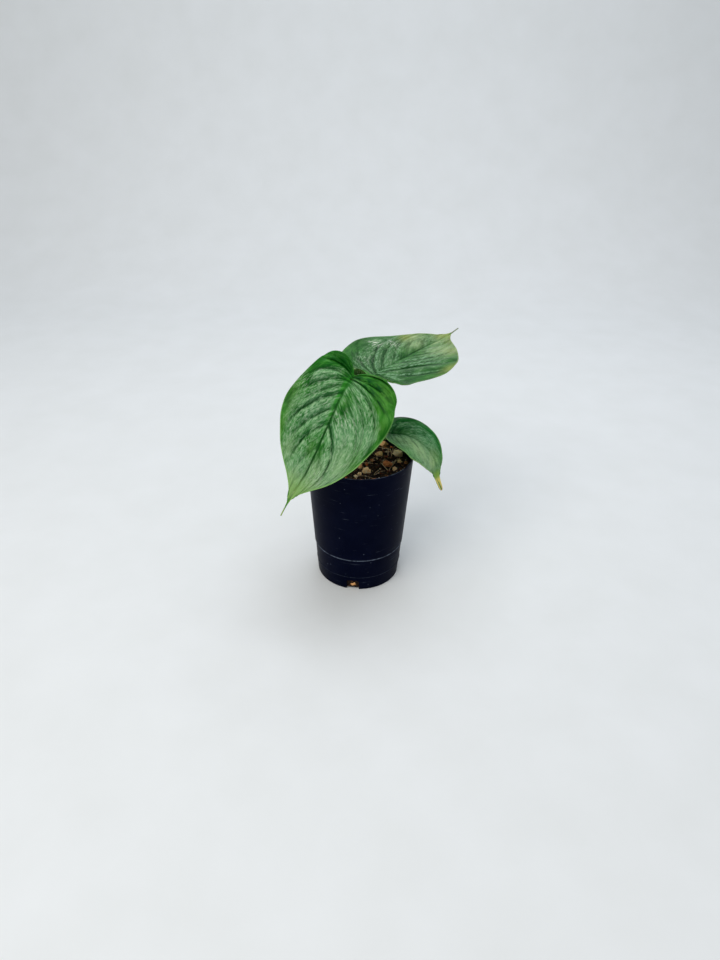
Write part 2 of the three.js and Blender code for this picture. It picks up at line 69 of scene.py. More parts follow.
def closeUp(piece):  # merges doubled corners, then turns the faces outwards
    pick(piece)
    bpy.ops.object.mode_set(mode="EDIT")
    bpy.ops.mesh.select_all(action="SELECT")
    bpy.ops.mesh.remove_doubles(threshold=doublesApart)
    bpy.ops.mesh.normals_make_consistent(inside=False)
    bpy.ops.object.mode_set(mode="OBJECT")


def applyModifiers(piece):
    pick(piece)
    for modifier in list(piece.modifiers):
        bpy.ops.object.modifier_apply(modifier=modifier.name)


def smoothByAngle(piece, degrees):
    pick(piece)
    bpy.ops.object.shade_smooth_by_angle(angle=math.radians(degrees))


def finishPiece(piece, name, material, degrees, slotName, *nodes):
    if material:
        piece.data.materials.append(material)
    smoothByAngle(piece, degrees)
    piece.name = name
    piece.data.name = name
    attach(piece, "root")
    if nodes:
        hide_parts(*nodes)
    print("scene:", name, len(piece.data.polygons), "faces")


def paintCorners(piece, name, values):  # a number for each corner, which a material reads by this name
    values = np.asarray(values, np.float32).ravel()
    piece.data.attributes.new(name, "FLOAT", "POINT").data.foreach_set("value", values)


def randomNumbers(seed):  # the same row of numbers each time
    state = seed
    while True:
        state = state * 16807 % 2147483647
        yield state / 2147483647


def smoothStep(value, low, high):
    share = np.clip((value - low) / (high - low), 0, 1)
    return share * share * (3 - 2 * share)


def bell(off, spread):
    return np.exp(-(off / spread) ** 2)


def unit(vectors):
    return vectors / np.linalg.norm(vectors, axis=-1, keepdims=True)


def smoothLine(points, steps=40):  # a smooth line through the points, steps to each span
    known = np.array(points, float)
    known = np.vstack([2 * known[0] - known[1], known, 2 * known[-1] - known[-2]])
    line = []
    for k in range(len(points) - 1):
        a, b, c, d = known[k:k + 4]
        t = np.linspace(0, 1, steps, endpoint=False)[:, None]
        bend = (2 * a - 5 * b + 4 * c - d) * t ** 2 + (3 * b - a - 3 * c + d) * t ** 3
        line.append(0.5 * (2 * b + (c - a) * t + bend))
    return np.vstack(line + [known[-2:-1]])


def lengthsAlong(line):
    return np.concatenate([[0], np.cumsum(np.linalg.norm(np.diff(line, axis=0), axis=1))])


def evenly(points, count):  # the smooth line again, as count + 1 points at even distances
    line = smoothLine(points)
    lengths = lengthsAlong(line)
    places = np.linspace(0, lengths[-1], count + 1)
    return np.stack([np.interp(places, lengths, line[:, k]) for k in range(3)], axis=-1)


def spotAt(out, turn):
    return out * math.cos(turn), out * math.sin(turn)


def arc(centre, radius, fromAngle, toAngle, steps):
    turns = np.radians(np.linspace(fromAngle, toAngle, steps + 1))
    return [(centre[0] + radius * math.cos(turn), centre[1] + radius * math.sin(turn)) for turn in turns]


def lathe(profile, sides):  # a ring drawn out along the profile of (radius, height) in mm, closed at its end
    clearSelection()
    radius, height = profile[0]
    bpy.ops.mesh.primitive_circle_add(vertices=sides, radius=radius * mm, fill_type="TRIFAN",
                                      location=(0, 0, 0))
    piece = bpy.context.object
    bpy.ops.object.mode_set(mode="EDIT")
    bpy.ops.transform.translate(value=(0, 0, height * mm))
    bpy.ops.mesh.select_all(action="DESELECT")
    bpy.ops.mesh.select_mode(type="EDGE")
    bpy.ops.mesh.select_non_manifold()
    for nextRadius, nextHeight in profile[1:]:
        rise = (nextHeight - height) * mm
        bpy.ops.mesh.extrude_region_move(TRANSFORM_OT_translate={"value": (0, 0, rise)})
        nextRadius = max(nextRadius, 0.001)  # a ring scaled to nothing couldn't be scaled again
        share = nextRadius / radius
        bpy.ops.transform.resize(value=(share, share, 1), center_override=(0, 0, 0))
        radius, height = nextRadius, nextHeight
    bpy.ops.mesh.merge(type="CENTER")
    bpy.ops.mesh.select_mode(type="VERT")
    bpy.ops.object.mode_set(mode="OBJECT")
    closeUp(piece)
    return piece


def newCurve(kind, lines):  # a line's corners are x, y and z in mm and a factor for its bevel
    clearSelection()
    bpy.ops.curve.primitive_nurbs_path_add(location=(0, 0, 0))
    curve = bpy.context.object
    curve.data.splines.clear()
    for line in lines:
        spline = curve.data.splines.new(kind)
        spline.points.add(len(line) - 1)
        for corner, (x, y, z, share) in zip(spline.points, line):
            corner.co = (x * mm, y * mm, z * mm, 1)
            corner.radius = share
    curve.data.use_fill_caps = True
    return curve


def meshOf(curve):
    pick(curve)
    bpy.ops.object.convert(target="MESH")
    closeUp(bpy.context.object)
    return bpy.context.object


def sweep(points, radii, outline):  # outline, a closed ring of radius 1, follows the points in mm
    ring = newCurve("POLY", [[(x, y, 0, 1) for x, y in outline]])
    ring.data.dimensions = "2D"
    ring.data.fill_mode = "NONE"
    ring.data.splines[0].use_cyclic_u = True
    curve = newCurve("POLY", [[(*place, radius) for place, radius in zip(points, radii)]])
    curve.data.bevel_mode = "OBJECT"
    curve.data.bevel_object = ring
    piece = meshOf(curve)
    bpy.data.objects.remove(ring)
    return piece


def roundOutline(sides):
    return arc((0, 0), 1, 0, 360, sides)[:-1]


# Materials

def hexColour(text):  # sRGB hex to the linear colour that the shaders take
    shares = [int(text[k:k + 2], 16) / 255 for k in (0, 2, 4)]
    return [s / 12.92 if s <= 0.04045 else ((s + 0.055) / 1.055) ** 2.4 for s in shares] + [1]


def setSockets(node, values):  # each a plain value, a hex colour, or the node or socket that it comes from
    for key, value in values.items():
        if isinstance(value, bpy.types.Node):
            value = next(socket for socket in value.outputs if socket.enabled)
        if isinstance(value, bpy.types.NodeSocket):
            node.id_data.links.new(value, node.inputs[key])
        else:
            node.inputs[key].default_value = hexColour(value) if isinstance(value, str) else value


def addNode(tree, kind, inputs=(), stops=(), **settings):  # inputs by name, or in their order
    node = tree.nodes.new("ShaderNode" + kind)
    for key, value in settings.items():
        setattr(node, key, value)
    setSockets(node, inputs if isinstance(inputs, dict) else dict(enumerate(inputs)))
    for k, (place, colour) in enumerate(stops):
        if k > 1:
            node.color_ramp.elements.new(place)
        node.color_ramp.elements[k].position = place
        node.color_ramp.elements[k].color = hexColour(colour)
    return node


def newMaterial(name, values):  # values are those that are the same all over the surface
    material = bpy.data.materials.new(name)
    material.use_nodes = True
    shader = material.node_tree.nodes["Principled BSDF"]
    setSockets(shader, values)
    return material, material.node_tree, shader


def grainedMaterial(name, values, stops, cells, detail, rough=0.5, bump=None, tint=None, contrast=None):
    # one noise, its cells so many mm in x, y and z, gives colour and relief; bump is the relief's strength
    # and its depth in mm, tint a painted number and the colour that it brings; with a contrast, a painted
    # tone shifts the colours
    material, tree, shader = newMaterial(name, values)
    place = addNode(tree, "Mapping", {"Vector": addNode(tree, "TexCoord").outputs["Object"],
                                      "Scale": 1 / (np.ones(3) * cells * mm)})
    grain = addNode(tree, "TexNoise", {"Vector": place, "Scale": 1, "Detail": detail, "Roughness": rough})
    share = grain
    if contrast:
        tone = addNode(tree, "Attribute", attribute_name="tone").outputs["Fac"]
        share = addNode(tree, "Math", (grain, contrast, tone), operation="MULTIPLY_ADD")
        share = addNode(tree, "Math", (share, contrast / 2), operation="SUBTRACT")
    colour = addNode(tree, "ValToRGB", (share,), stops)
    if tint:
        amount = addNode(tree, "Attribute", attribute_name=tint[0]).outputs["Fac"]
        colour = addNode(tree, "Mix", {0: amount, 6: colour, 7: tint[1]}, data_type="RGBA")
    setSockets(shader, {"Base Color": colour})
    if bump:
        relief = addNode(tree, "Bump", {"Height": grain, "Strength": bump[0], "Distance": bump[1] * mm})
        setSockets(shader, {"Normal": relief})
    return material


# Leaf blades: a bent sheet of two halves that fold and curl away from the midrib. Lengths in mm, angles in
# degrees. face is azimuth (0 towards -Y, 90 towards +X) and elevation. Half 0 is the right one from the tip.

bladeForm = {
    "outline": [(0, 0), (-0.05, 0.045), (-0.09, 0.1), (-0.108, 0.165), (-0.1, 0.23), (-0.065, 0.295),
                (0, 0.345), (0.09, 0.38), (0.2, 0.395), (0.32, 0.39), (0.44, 0.365), (0.56, 0.32),
                (0.67, 0.26), (0.77, 0.19), (0.86, 0.11), (0.93, 0.05)],
    "dentPlaces": (-0.06, 0.1, 0.26, 0.42, 0.58, 0.74), "dentSpread": 0.13, "openingWidth": 0.1,
    "thickness": 0.8, "puff": 1.5, "ripple": 1.1, "pucker": 0.26, "puckerScale": (1.7, 9),
    "ribSteps": 400, "rowsPerVein": 13, "columns": 40, "crowding": 0.6, "greenBlur": (0.14, 0.16),
    "bladeThick": 0.5, "ribThick": 2.1, "veinThick": 1.1, "tipThinning": 0.75,
    # depth and half width of the grooves above, and half width of the ribs below
    "ribGroove": (0.55, 1.5), "veinGroove": (0.45, 1.4), "minorGroove": (0.16, 0.7),
    "ribHalf": 1.3, "veinHalf": 0.8,
    # relief fades in between these two distances: between veins, and from the margin
    "veinsApart": (2, 6), "minorApart": (6, 14), "offMargin": (0.4, 3), "puckerOffMargin": (0, 6),
}

# veinRibs and veinEnds say where each lateral vein leaves the midrib and meets the margin, in shares of the
# length, and veinBows how far it bends. greenReach is how far in from the margin the leaf stays green, at
# greenPlaces along it. These and hem are given for the two halves. silver, pale, deep and olive are soft
# patches, and so are the glint patches: place along and across the blade, reach along and across, amount.
# The glint patches are painted highlights, pale streaks of reflected light on the upper side.
frontLeaf = {
    "rib": [(-6, -23.5, 215.5), (-15, -34.5, 206), (-28, -45, 178.5), (-43.5, -56.5, 145),
            (-59, -68, 121), (-66.5, -73.5, 107.5)],
    "slot": "blade", "dripTip": 16, "tipWidth": ((0, 1.65), (0.45, 0.55), (1, 0.39)),
    "face": (-6.5, 29.5), "fold": (11, 12.5), "curl": (-33.5, -34), "twist": -16, "quilt": 1,
    "wide": (0.98, 1), "lobe": (0.847, 0.79), "sinusOpening": 0, "ripples": (2.5, 2),
    "dents": ((0.177, 0.187, 0.064, 0.011, 0.018, -0.081), (-0.018, -0.02, -0.051, -0.015, -0.031, -0.043)),
    "stalk": [(-3, 2, 132), (-5, -1, 152), (1, -1, 178), (6.5, 1, 196), (3, 1, 205.3), (-4.2, -2.4, 210.8)],
    "stalkEnd": 5, "stalkRadius": (2.6, 2.3), "kneeShade": 0.9,
    "veinRibs": (0, 0.005, 0.017, 0.035, 0.056, 0.095, 0.16, 0.26, 0.385, 0.57, 0.77),
    "veinEnds": ((-0.1, -0.03, 0.05, 0.24, 0.38, 0.47, 0.61, 0.72, 0.825, 0.93, 0.985),
                 (-0.1, -0.014, 0.05, 0.24, 0.6, 0.74, 0.85, 0.895, 0.93, 0.965, 0.985)),
    "veinBows": ((0.05, 0.2, 0.36, 0.3, 0.2, 0.14, 0.24, 0.2, 0.26, 0.28, 0.28),
                 (0.1, 0.4, 0.16, 0.28, 0.55, 0.5, 0.58, 0.48, 0.4, 0.3, 0.28)),
    "veinStrength": ((0.4, 0.6, 1, 0.8, 0.7, 0.4, 1, 0.9, 1, 0.35, 0.2),
                     (0.4, 1.3, 1.5, 1.2, 0.55, 0.35, 0.4, 0.2, 1.1, 0.25, 0.2)),
    "ribPlaces": (0, 0.22, 0.4, 0.62, 0.9, 1), "ribDark": (0.3, 0.8, 1, 1, 0.8, 0.3),
    "fringePlaces": (0, 0.1, 0.35, 0.6, 1), "fringe": (1.2, 1.2, 0.7, 0.15, 0),
    "greenPlaces": (-0.1, 0, 0.1, 0.25, 0.45, 0.62, 0.8, 1),
    "greenReach": ((1, 0.72, 0.34, 0.2, 0.06, 0, -0.05, 0.05), (1, 0.95, 0.6, 0.14, 0.05, 0.02, 0, 0.05)),
    "hem": ((0, 0, 0, 0.1, 0.6, 0.8, 0.8, 0.8), (0, 0.1, 0.2, 0.4, 0.7, 0.8, 0.8, 0.8)),
    "silver": [(0.285, 0.145, 0.06, 0.07, 0.35), (0.347, 0.118, 0.04, 0.06, 0.3),
               (0.124, 0.199, 0.05, 0.06, 0.35), (0.684, -0.19, 0.13, 0.09, 0.5),
               (0.368, -0.296, 0.08, 0.05, 0.4), (0.43, -0.14, 0.1, 0.06, 0.45),
               (0.8, 0.05, 0.1, 0.06, 0.35), (0.6, 0.042, 0.07, 0.03, -0.2),
               (0.6, -0.03, 0.07, 0.03, -0.5), (0.4, 0.137, 0.08, 0.06, 0.2),
               (0.22, 0.25, 0.1, 0.08, -0.25), (0.213, -0.06, 0.09, 0.04, -0.5),
               (0.04, 0.03, 0.05, 0.05, -0.8), (0.48, 0.1, 0.1, 0.04, -0.15)],
    "pale": [(0.8, -0.08, 0.16, 0.1, 0.6), (0.62, -0.2, 0.14, 0.08, 0.5), (0.86, 0.06, 0.1, 0.06, 0.5),
             (0.7, 0.2, 0.12, 0.06, 0.45), (0.1, 0.42, 0.1, 0.04, 0.35), (0.01, 0, 0.014, 0.014, 0.5),
             (0.345, 0.3, 0.1, 0.05, 0.2)],
    # painted highlights: pale glints of reflected light on the upper side
    "bloom": [(0.33, -0.1, 0.05, 0.05, 0.35), (0.2, 0.3, 0.06, 0.05, 0.3), (0.78, -0.12, 0.08, 0.05, 0.3)],
    "deep": [(-0.05, 0.14, 0.08, 0.1, 0.95), (0.44, -0.36, 0.1, 0.02, 0.8),
             (0.02, 0.01, 0.05, 0.05, 0.6), (0.6, -0.028, 0.06, 0.022, 0.65),
             (0.22, -0.06, 0.07, 0.03, 0.45), (0.3, -0.4, 0.14, 0.035, 0.75),
             (0.1, 0.27, 0.05, 0.06, 0.35), (0.3, 0.33, 0.07, 0.03, 0.45)],
    "olive": [(0, -0.26, 0.1, 0.1, 0.55), (0.09, -0.3, 0.09, 0.08, 0.45), (0.6, 0.042, 0.07, 0.03, 0.42),
              (0.55, 0.3, 0.14, 0.03, 0.5), (0.25, -0.36, 0.06, 0.04, 0.5),
              (0.26, 0.33, 0.07, 0.04, 0.4), (0.6, -0.3, 0.2, 0.04, 0.4)],
}
rearLeaf = {
    "rib": [(8.6, 20, 197.2), (29.7, 43.2, 200.2), (49.9, 67.4, 201.4), (69, 92.5, 201.2),
            (87, 118.3, 200.9), (98.4, 131.5, 203.8)],
    "slot": "blade", "dripTip": 15, "tipWidth": ((0, 1.65), (0.45, 0.55), (1, 0.39)),
    "face": (37, 87.5), "fold": (8.5, 8.3), "curl": (-5.5, -25.3), "twist": -10, "quilt": 0.8,
    "wide": (1.06, 1.01), "lobe": (0.576, 0.55), "sinusOpening": 0.045, "ripples": (2, 3),
    "dents": ((0.025, 0.142, 0.029, 0.033, -0.006, 0.06), (-0.001, 0.021, 0.001, -0.041, 0.215, 0.26)),
    "stalk": [(-1, 5, 138), (4.5, 12, 152), (8.5, 18, 176)],
    "stalkEnd": 8, "stalkRadius": (2.5, 1.4), "kneeShade": 0.5,
    "veinRibs": (0, 0.004, 0.011, 0.02, 0.05, 0.13, 0.25, 0.4, 0.6, 0.8),
    "veinEnds": ((-0.1, -0.03, 0.03, 0.44, 0.55, 0.66, 0.77, 0.88, 0.95, 0.985),
                 (-0.1, -0.03, 0.12, 0.36, 0.6, 0.7, 0.79, 0.89, 0.95, 0.985)),
    "veinBows": ((0, 0, 0, 0.36, 0.05, 0.15, 0.24, 0.28, 0.28, 0.28),
                 (0.1, 0.2, 0.25, 0.3, 0.33, 0.28, 0.28, 0.28, 0.28, 0.28)),
    "veinStrength": ((0.5, 0.7, 1.2, 1.5, 1.5, 0.8, 1.2, 0.5, 0.3, 0.2),
                     (0.2, 0.3, 0.4, 0.8, 1.1, 0.8, 0.55, 0.4, 0.3, 0.2)),
    "ribPlaces": (0, 0.25, 0.38, 0.55, 0.7, 1), "ribDark": (0.1, 0.25, 0.75, 0.85, 0.3, 0.15),
    "fringePlaces": (0, 1), "fringe": (0.2, 0.1),
    "greenPlaces": (-0.1, 0, 0.2, 0.4, 0.6, 0.8, 1),
    "greenReach": ((0.3, 0.2, 0.12, 0.1, 0.1, 0.12, 0.1), (0.6, 0.5, 0.3, 0.1, 0.08, 0.12, 0.1)),
    "hem": ((0.2, 0.2, 0.15, 0.2, 0.5, 0.5, 0.4), (0.3, 0.1, 0, 0.2, 0.4, 0.6, 0.5)),
    "silver": [(0.23, -0.1, 0.12, 0.08, 0.3), (0.46, -0.2, 0.08, 0.07, 0.5),
               (0.36, -0.27, 0.05, 0.05, 0.4), (0.46, 0, 0.12, 0.07, -0.6),
               (0.29, -0.36, 0.09, 0.06, -0.8), (0.16, -0.32, 0.06, 0.05, -0.6),
               (0.13, 0.29, 0.12, 0.07, -0.4), (0.3, 0.3, 0.1, 0.06, -0.4), (0.5, 0.17, 0.1, 0.06, 0.3),
               (0.66, 0.1, 0.09, 0.06, 0.2), (0.05, -0.12, 0.06, 0.05, 0.35)],
    # the narrow, full patch at 0.77 along the midrib is a painted highlight on its lit ridge
    "pale": [(0.68, 0.14, 0.16, 0.1, 0.6), (0.85, 0, 0.12, 0.12, 0.4), (0.66, -0.14, 0.12, 0.05, 0.8),
             (0.77, 0.016, 0.08, 0.014, 1), (0.6, -0.07, 0.12, 0.07, 0.45), (0.72, -0.12, 0.1, 0.06, 0.5)],
    # painted highlights: pale glints of reflected light along the far margin
    "bloom": [(0.351, -0.265, 0.035, 0.05, 1), (0.443, -0.166, 0.035, 0.045, 0.9),
              (0.12, -0.17, 0.07, 0.06, 0.2), (0.38, -0.22, 0.09, 0.05, 0.3)],
    "deep": [(0.29, -0.37, 0.09, 0.05, 0.9), (0.27, -0.3, 0.05, 0.04, 0.7), (0.45, 0, 0.11, 0.05, 0.5),
             (0.14, 0.27, 0.12, 0.06, 0.65), (0.27, 0.31, 0.1, 0.04, 0.4), (0.0, 0.25, 0.1, 0.1, 0.45),
             (0.08, -0.12, 0.14, 0.12, 0.6), (0.2, 0.17, 0.14, 0.03, 0.6), (0.22, 0.28, 0.1, 0.05, 0.5),
             (0.3, -0.18, 0.14, 0.1, 0.35), (0.2, 0.2, 0.25, 0.12, 0.45)],
    "olive": [(0.6, -0.17, 0.07, 0.04, 0.8), (0.9, -0.03, 0.07, 0.05, 0.8), (0.72, 0.2, 0.12, 0.06, 0.5),
              (0.43, 0.37, 0.12, 0.03, 0.8), (0.88, 0.09, 0.1, 0.08, 0.5)],
}
rightLeaf = {
    "rib": [(24.9, -5, 152.5), (42.7, -2.6, 149.1), (58.1, -2, 139.2), (68.5, -2.7, 124.2),
            (72.3, -3.3, 106.3), (77.6, -4.6, 92.8)],
    "slot": "blade_young", "dripTip": 13.5, "tipWidth": ((0, 3), (0.4, 2.4), (0.8, 1.9), (1, 0.6)),
    "face": (33, 85), "fold": (7, 8.5), "curl": (-34, -27), "twist": -27.5, "quilt": 0.55,
    "wide": (0.95, 0.85), "lobe": (0.75, 0.351), "sinusOpening": 0.03, "ripples": (2, 2),
    "dents": ((0.2, 0.04, -0.062, -0.032, -0.04, -0.048), (0.002, 0.02, -0.045, 0.008, 0.032, 0.029)),
    "stalk": [(0, 4, 131), (5, 2, 140), (11, -1.5, 146), (18, -4, 147.4)], "stalkEnd": 4,
    "stalkRadius": (2.1, 1.1), "kneeShade": 0.3,
    "veinRibs": (0, 0.004, 0.01, 0.05, 0.13, 0.27, 0.44, 0.62, 0.8),
    "veinEnds": ((-0.1, -0.03, 0.09, 0.27, 0.5, 0.73, 0.88, 0.95, 0.985),
                 (-0.1, -0.03, 0.16, 0.44, 0.68, 0.82, 0.91, 0.96, 0.985)),
    "veinBows": ((0, 0.05, 0.15, 0.25, 0.3, 0.3, 0.3, 0.3, 0.3),
                 (0, 0.05, 0.24, 0.34, 0.36, 0.33, 0.3, 0.3, 0.3)),
    "veinStrength": ((0.4, 0.5, 0.6, 0.6, 0.45, 0.4, 0.3, 0.2, 0.2),
                     (0.5, 0.6, 0.8, 0.6, 0.4, 0.3, 0.2, 0.2, 0.2)),
    "ribPlaces": (0, 0.2, 0.45, 0.8, 1), "ribDark": (0.9, 0.7, 0.35, 0.25, 0.1),
    "fringePlaces": (0, 1), "fringe": (0.1, 0.1),
    "greenPlaces": (-0.1, 0, 0.2, 0.5, 0.8, 1),
    "greenReach": ((0.3, 0.12, 0, -0.05, -0.05, 0.1), (0.8, 0.6, 0.4, 0.25, 0.15, 0.3)),
    "hem": ((0.6, 0.6, 0.6, 0.8, 0.8, 0.4), (0, 0, 0.1, 0.4, 0.4, 0.4)),
    "silver": [(0.13, -0.06, 0.12, 0.05, -0.9), (0.34, 0.04, 0.12, 0.06, 0.3),
               (0.55, 0.1, 0.14, 0.1, 0.3), (0.06, 0.12, 0.06, 0.05, 0.2)],
    "pale": [(0.42, 0.16, 0.32, 0.16, 0.7), (0.72, 0.05, 0.16, 0.12, 0.9), (0.1, 0.16, 0.1, 0.1, 0.5)],
    "bloom": [],
    "deep": [(0.12, -0.06, 0.11, 0.05, 1), (0.2, -0.33, 0.16, 0.03, 0.8), (0.24, -0.16, 0.14, 0.1, 0.35)],
    "olive": [(0.74, -0.06, 0.1, 0.08, 0.4), (0.2, 0.33, 0.2, 0.05, 0.35)],
}
leaves = {"front": frontLeaf, "rear": rearLeaf, "right": rightLeaf}

paintNames = ("beside", "minor", "edge", "rib", "strength", "lip", "silver", "pale", "bloom", "olive",
              "deep", "hem", "ribDark", "fringe", "all")


def makeSheet(leaf):
    steps = bladeForm["ribSteps"]
    count, rib = np.arange(steps + 1), evenly(leaf["rib"], steps)
    heading = unit(np.gradient(rib, axis=0))
    ribLength = lengthsAlong(rib)[-1]
    length = ribLength - leaf["dripTip"]
    azimuth, elevation = np.radians(leaf["face"])
    facing = np.array([math.sin(azimuth) * math.cos(elevation), -math.cos(azimuth) * math.cos(elevation),
                       math.sin(elevation)])

    def at(x, y, half):  # x along the midrib, y across; gives the place and the upper side's normal
        place = np.clip(x / ribLength, 0, 1) * steps
        middle, along = (np.stack([np.interp(place, count, line[:, k]) for k in range(3)], axis=-1)
                         for line in (rib, heading))
        along = unit(along)
        side = unit(np.cross(along, facing))
        up = np.cross(side, along)
        turn = (math.radians(leaf["twist"]) * np.clip(x, 0, ribLength) / length)[..., None]
        side, up = side * np.cos(turn) + up * np.sin(turn), up * np.cos(turn) - side * np.sin(turn)
        side = side if half == 0 else -side
        middle = middle + along * np.minimum(x, 0)[..., None]
        fold, curl = math.radians(leaf["fold"][half]), math.radians(leaf["curl"][half]) / 100
        angle = fold + curl * y
        out = ((np.sin(angle) - math.sin(fold)) / curl)[..., None]
        rise = ((math.cos(fold) - np.cos(angle)) / curl)[..., None]
        lean = np.where(y > 0.01, angle, 0)[..., None]  # on the midrib itself the sheet lies level
        return middle + side * out + up * rise, up * np.cos(lean) - side * np.sin(lean)

    return at, length, ribLength


def makeMargin(leaf, length, half):
    form, points = bladeForm, []
    places, depths = np.array(form["dentPlaces"]), np.array(leaf["dents"][half])
    for x, y in form["outline"]:
        off = y / form["openingWidth"]
        opening = leaf["sinusOpening"] * off * math.exp(1 - off) * (1 - np.clip((x + 0.05) / 0.2, 0, 1))
        dent = np.sum(depths * bell(x - places, form["dentSpread"]))
        x *= leaf["lobe"][half] if x < 0 else 1
        points.append(((x + opening) * length, y * (1 - dent) * leaf["wide"][half] * length))
    points += [(length + leaf["dripTip"] * share, width) for share, width in leaf["tipWidth"]]
    line = smoothLine(points, 60)
    lengths = lengthsAlong(line)
    return line, lengths / lengths[-1]


def patches(spots, along, across):  # soft round patches, one layer for each
    return np.stack([amount * bell(along - x, reachAlong) * bell(across - y, reachAcross)
                     for x, y, reachAlong, reachAcross, amount in spots or [(0, 0, 1, 1, 0)]])


def makeHalf(leaf, length, ribLength, half):  # the grid in the flat, its rows along the veins, its relief
    form, sign = bladeForm, 1 if half == 0 else -1
    line, shares = makeMargin(leaf, length, half)
    lobeEnd = int(np.argmin(line[:, 0]))
    ribs = [0] + [share * length for share in leaf["veinRibs"]] + [length + leaf["dripTip"] * 0.3, ribLength]
    ends = [place * (leaf["lobe"][half] if place < 0 else 1) * length
            for place in leaf["veinEnds"][half][1:]]
    ends = np.interp(ends + ribs[-2:-1], line[lobeEnd:, 0], shares[lobeEnd:])
    count = np.arange(len(ribs))
    step = np.linspace(0, count[-1], count[-1] * form["rowsPerVein"] + 1)
    ribPlace = np.interp(step, count, ribs)
    share = np.interp(step, count, [0, shares[lobeEnd], *ends, 1])
    start = np.stack([ribPlace, np.zeros_like(step)], axis=-1)
    end = np.stack([np.interp(share, shares, line[:, k]) for k in range(2)], axis=-1)
    run = end - start
    bow = np.interp(step, count, [0, *leaf["veinBows"][half], 0, 0])
    bend = start + run / 2 + np.stack([-run[:, 1], run[:, 0]], axis=-1) * bow[:, None]
    u = np.linspace(0, 1, form["columns"] + 1)
    w = u - form["crowding"] * np.sin(2 * math.pi * u) / (2 * math.pi)  # closer at the midrib and the margin
    flat = sum(weight[None, :, None] * corner[:, None]
               for weight, corner in (((1 - w) ** 2, start), (2 * w * (1 - w), bend), (w ** 2, end)))
    flat[..., 1] = np.maximum(flat[..., 1], 0)
    x, y = flat[..., 0], flat[..., 1]

    # distances in mm from the nearest lateral and minor vein and from the margin
    along = np.gradient(flat, axis=1) / np.maximum(np.gradient(w), 1e-6)[None, :, None]
    across = np.gradient(flat, axis=0) * form["rowsPerVein"]
    spacing = np.abs(along[..., 0] * across[..., 1] - along[..., 1] * across[..., 0])
    spacing = spacing / np.maximum(np.linalg.norm(along, axis=-1), 1e-6)
    beside = (step - np.round(step))[:, None] * spacing
    offVein = np.abs(step - np.round(step))[:, None]
    minor = np.minimum(np.abs(offVein - 0.5), np.abs(offVein - 0.25) + 0.03) * spacing
    edge = np.stack([np.min(np.hypot(row[:, :1] - line[:, 0], row[:, 1:] - line[:, 1]), axis=1)
                     for row in flat])
    strengths = [0.2, *leaf["veinStrength"][half], 0, 0]
    strength = np.array([strengths[int(round(value))] for value in step])[:, None] * np.ones_like(beside)
    strength = strength * (1 - smoothStep(w / (0.5 + 0.5 * np.clip(strength, 0, 1)), 0.45, 1))

    placeAlong = x / length
    reach = np.interp(placeAlong, leaf["greenPlaces"], leaf["greenReach"][half])
    layers = {name: patches(leaf[name], placeAlong, y * sign / length)
              for name in ("silver", "deep", "olive", "pale", "bloom")}
    paint = {name: layer.max(axis=0) for name, layer in layers.items()}
    inwards, outwards = form["greenBlur"]
    paint["silver"] = layers["silver"].sum(axis=0) + smoothStep(1 - w, reach - inwards, reach + outwards)
    # lip says where the painted highlight beside each vein lies, on silver skin
    paint |= {"beside": beside, "minor": minor, "edge": edge, "strength": strength, "rib": y * sign,
              "all": np.ones_like(reach), "lip": strength * np.clip(paint["silver"], 0, 1),
              "hem": np.interp(placeAlong, leaf["greenPlaces"], leaf["hem"][half]),
              "ribDark": np.interp(placeAlong, leaf["ribPlaces"], leaf["ribDark"]),
              "fringe": np.interp(placeAlong, leaf["fringePlaces"], leaf["fringe"])}

    # the upper side swells between the veins, waves at the margin and dips along the veins
    inner = smoothStep(step * 3, 0, 4)[:, None] * (1 - smoothStep((ribPlace / length)[:, None], 0.7, 1))
    swell = np.sin(math.pi * (step - np.floor(step)))[:, None] * np.sin(math.pi * np.clip(w, 0, 1)) ** 0.6
    wave = np.sin(2 * math.pi * leaf["ripples"][half] * share[:, None] + half) * w ** 2
    lift = inner * (form["puff"] * leaf["quilt"] * swell + form["ripple"] * wave)
    taper = 1 - form["tipThinning"] * np.clip(placeAlong, 0, 1)
    wideApart, offMargin = smoothStep(spacing, *form["veinsApart"]), smoothStep(edge, *form["offMargin"])
    for groove, off, weight in (("ribGroove", y, taper), ("veinGroove", beside, strength * wideApart),
                                ("minorGroove", minor, smoothStep(spacing, *form["minorApart"]) * (1 - w))):
        depth, width = form[groove]
        lift = lift - depth * bell(off, width) * weight * offMargin
    low = form["bladeThick"]
    ridge = (form["ribThick"] - low) * bell(y, form["ribHalf"])
    veins = (form["veinThick"] - low) * bell(beside, form["veinHalf"]) * (1 - 0.6 * w) * wideApart
    thick = np.where(edge < 1, low, low + np.maximum(ridge, veins) * taper)
    return {"flat": flat, "lift": lift, "thick": thick, "step": step[:, None] + 0 * lift, "w": w + 0 * lift,
            **paint}


def joinHalves(arrays):  # half 1 from its margin in, then half 0 from the midrib out
    return np.concatenate([arrays[1][:, :0:-1], arrays[0]], axis=1)


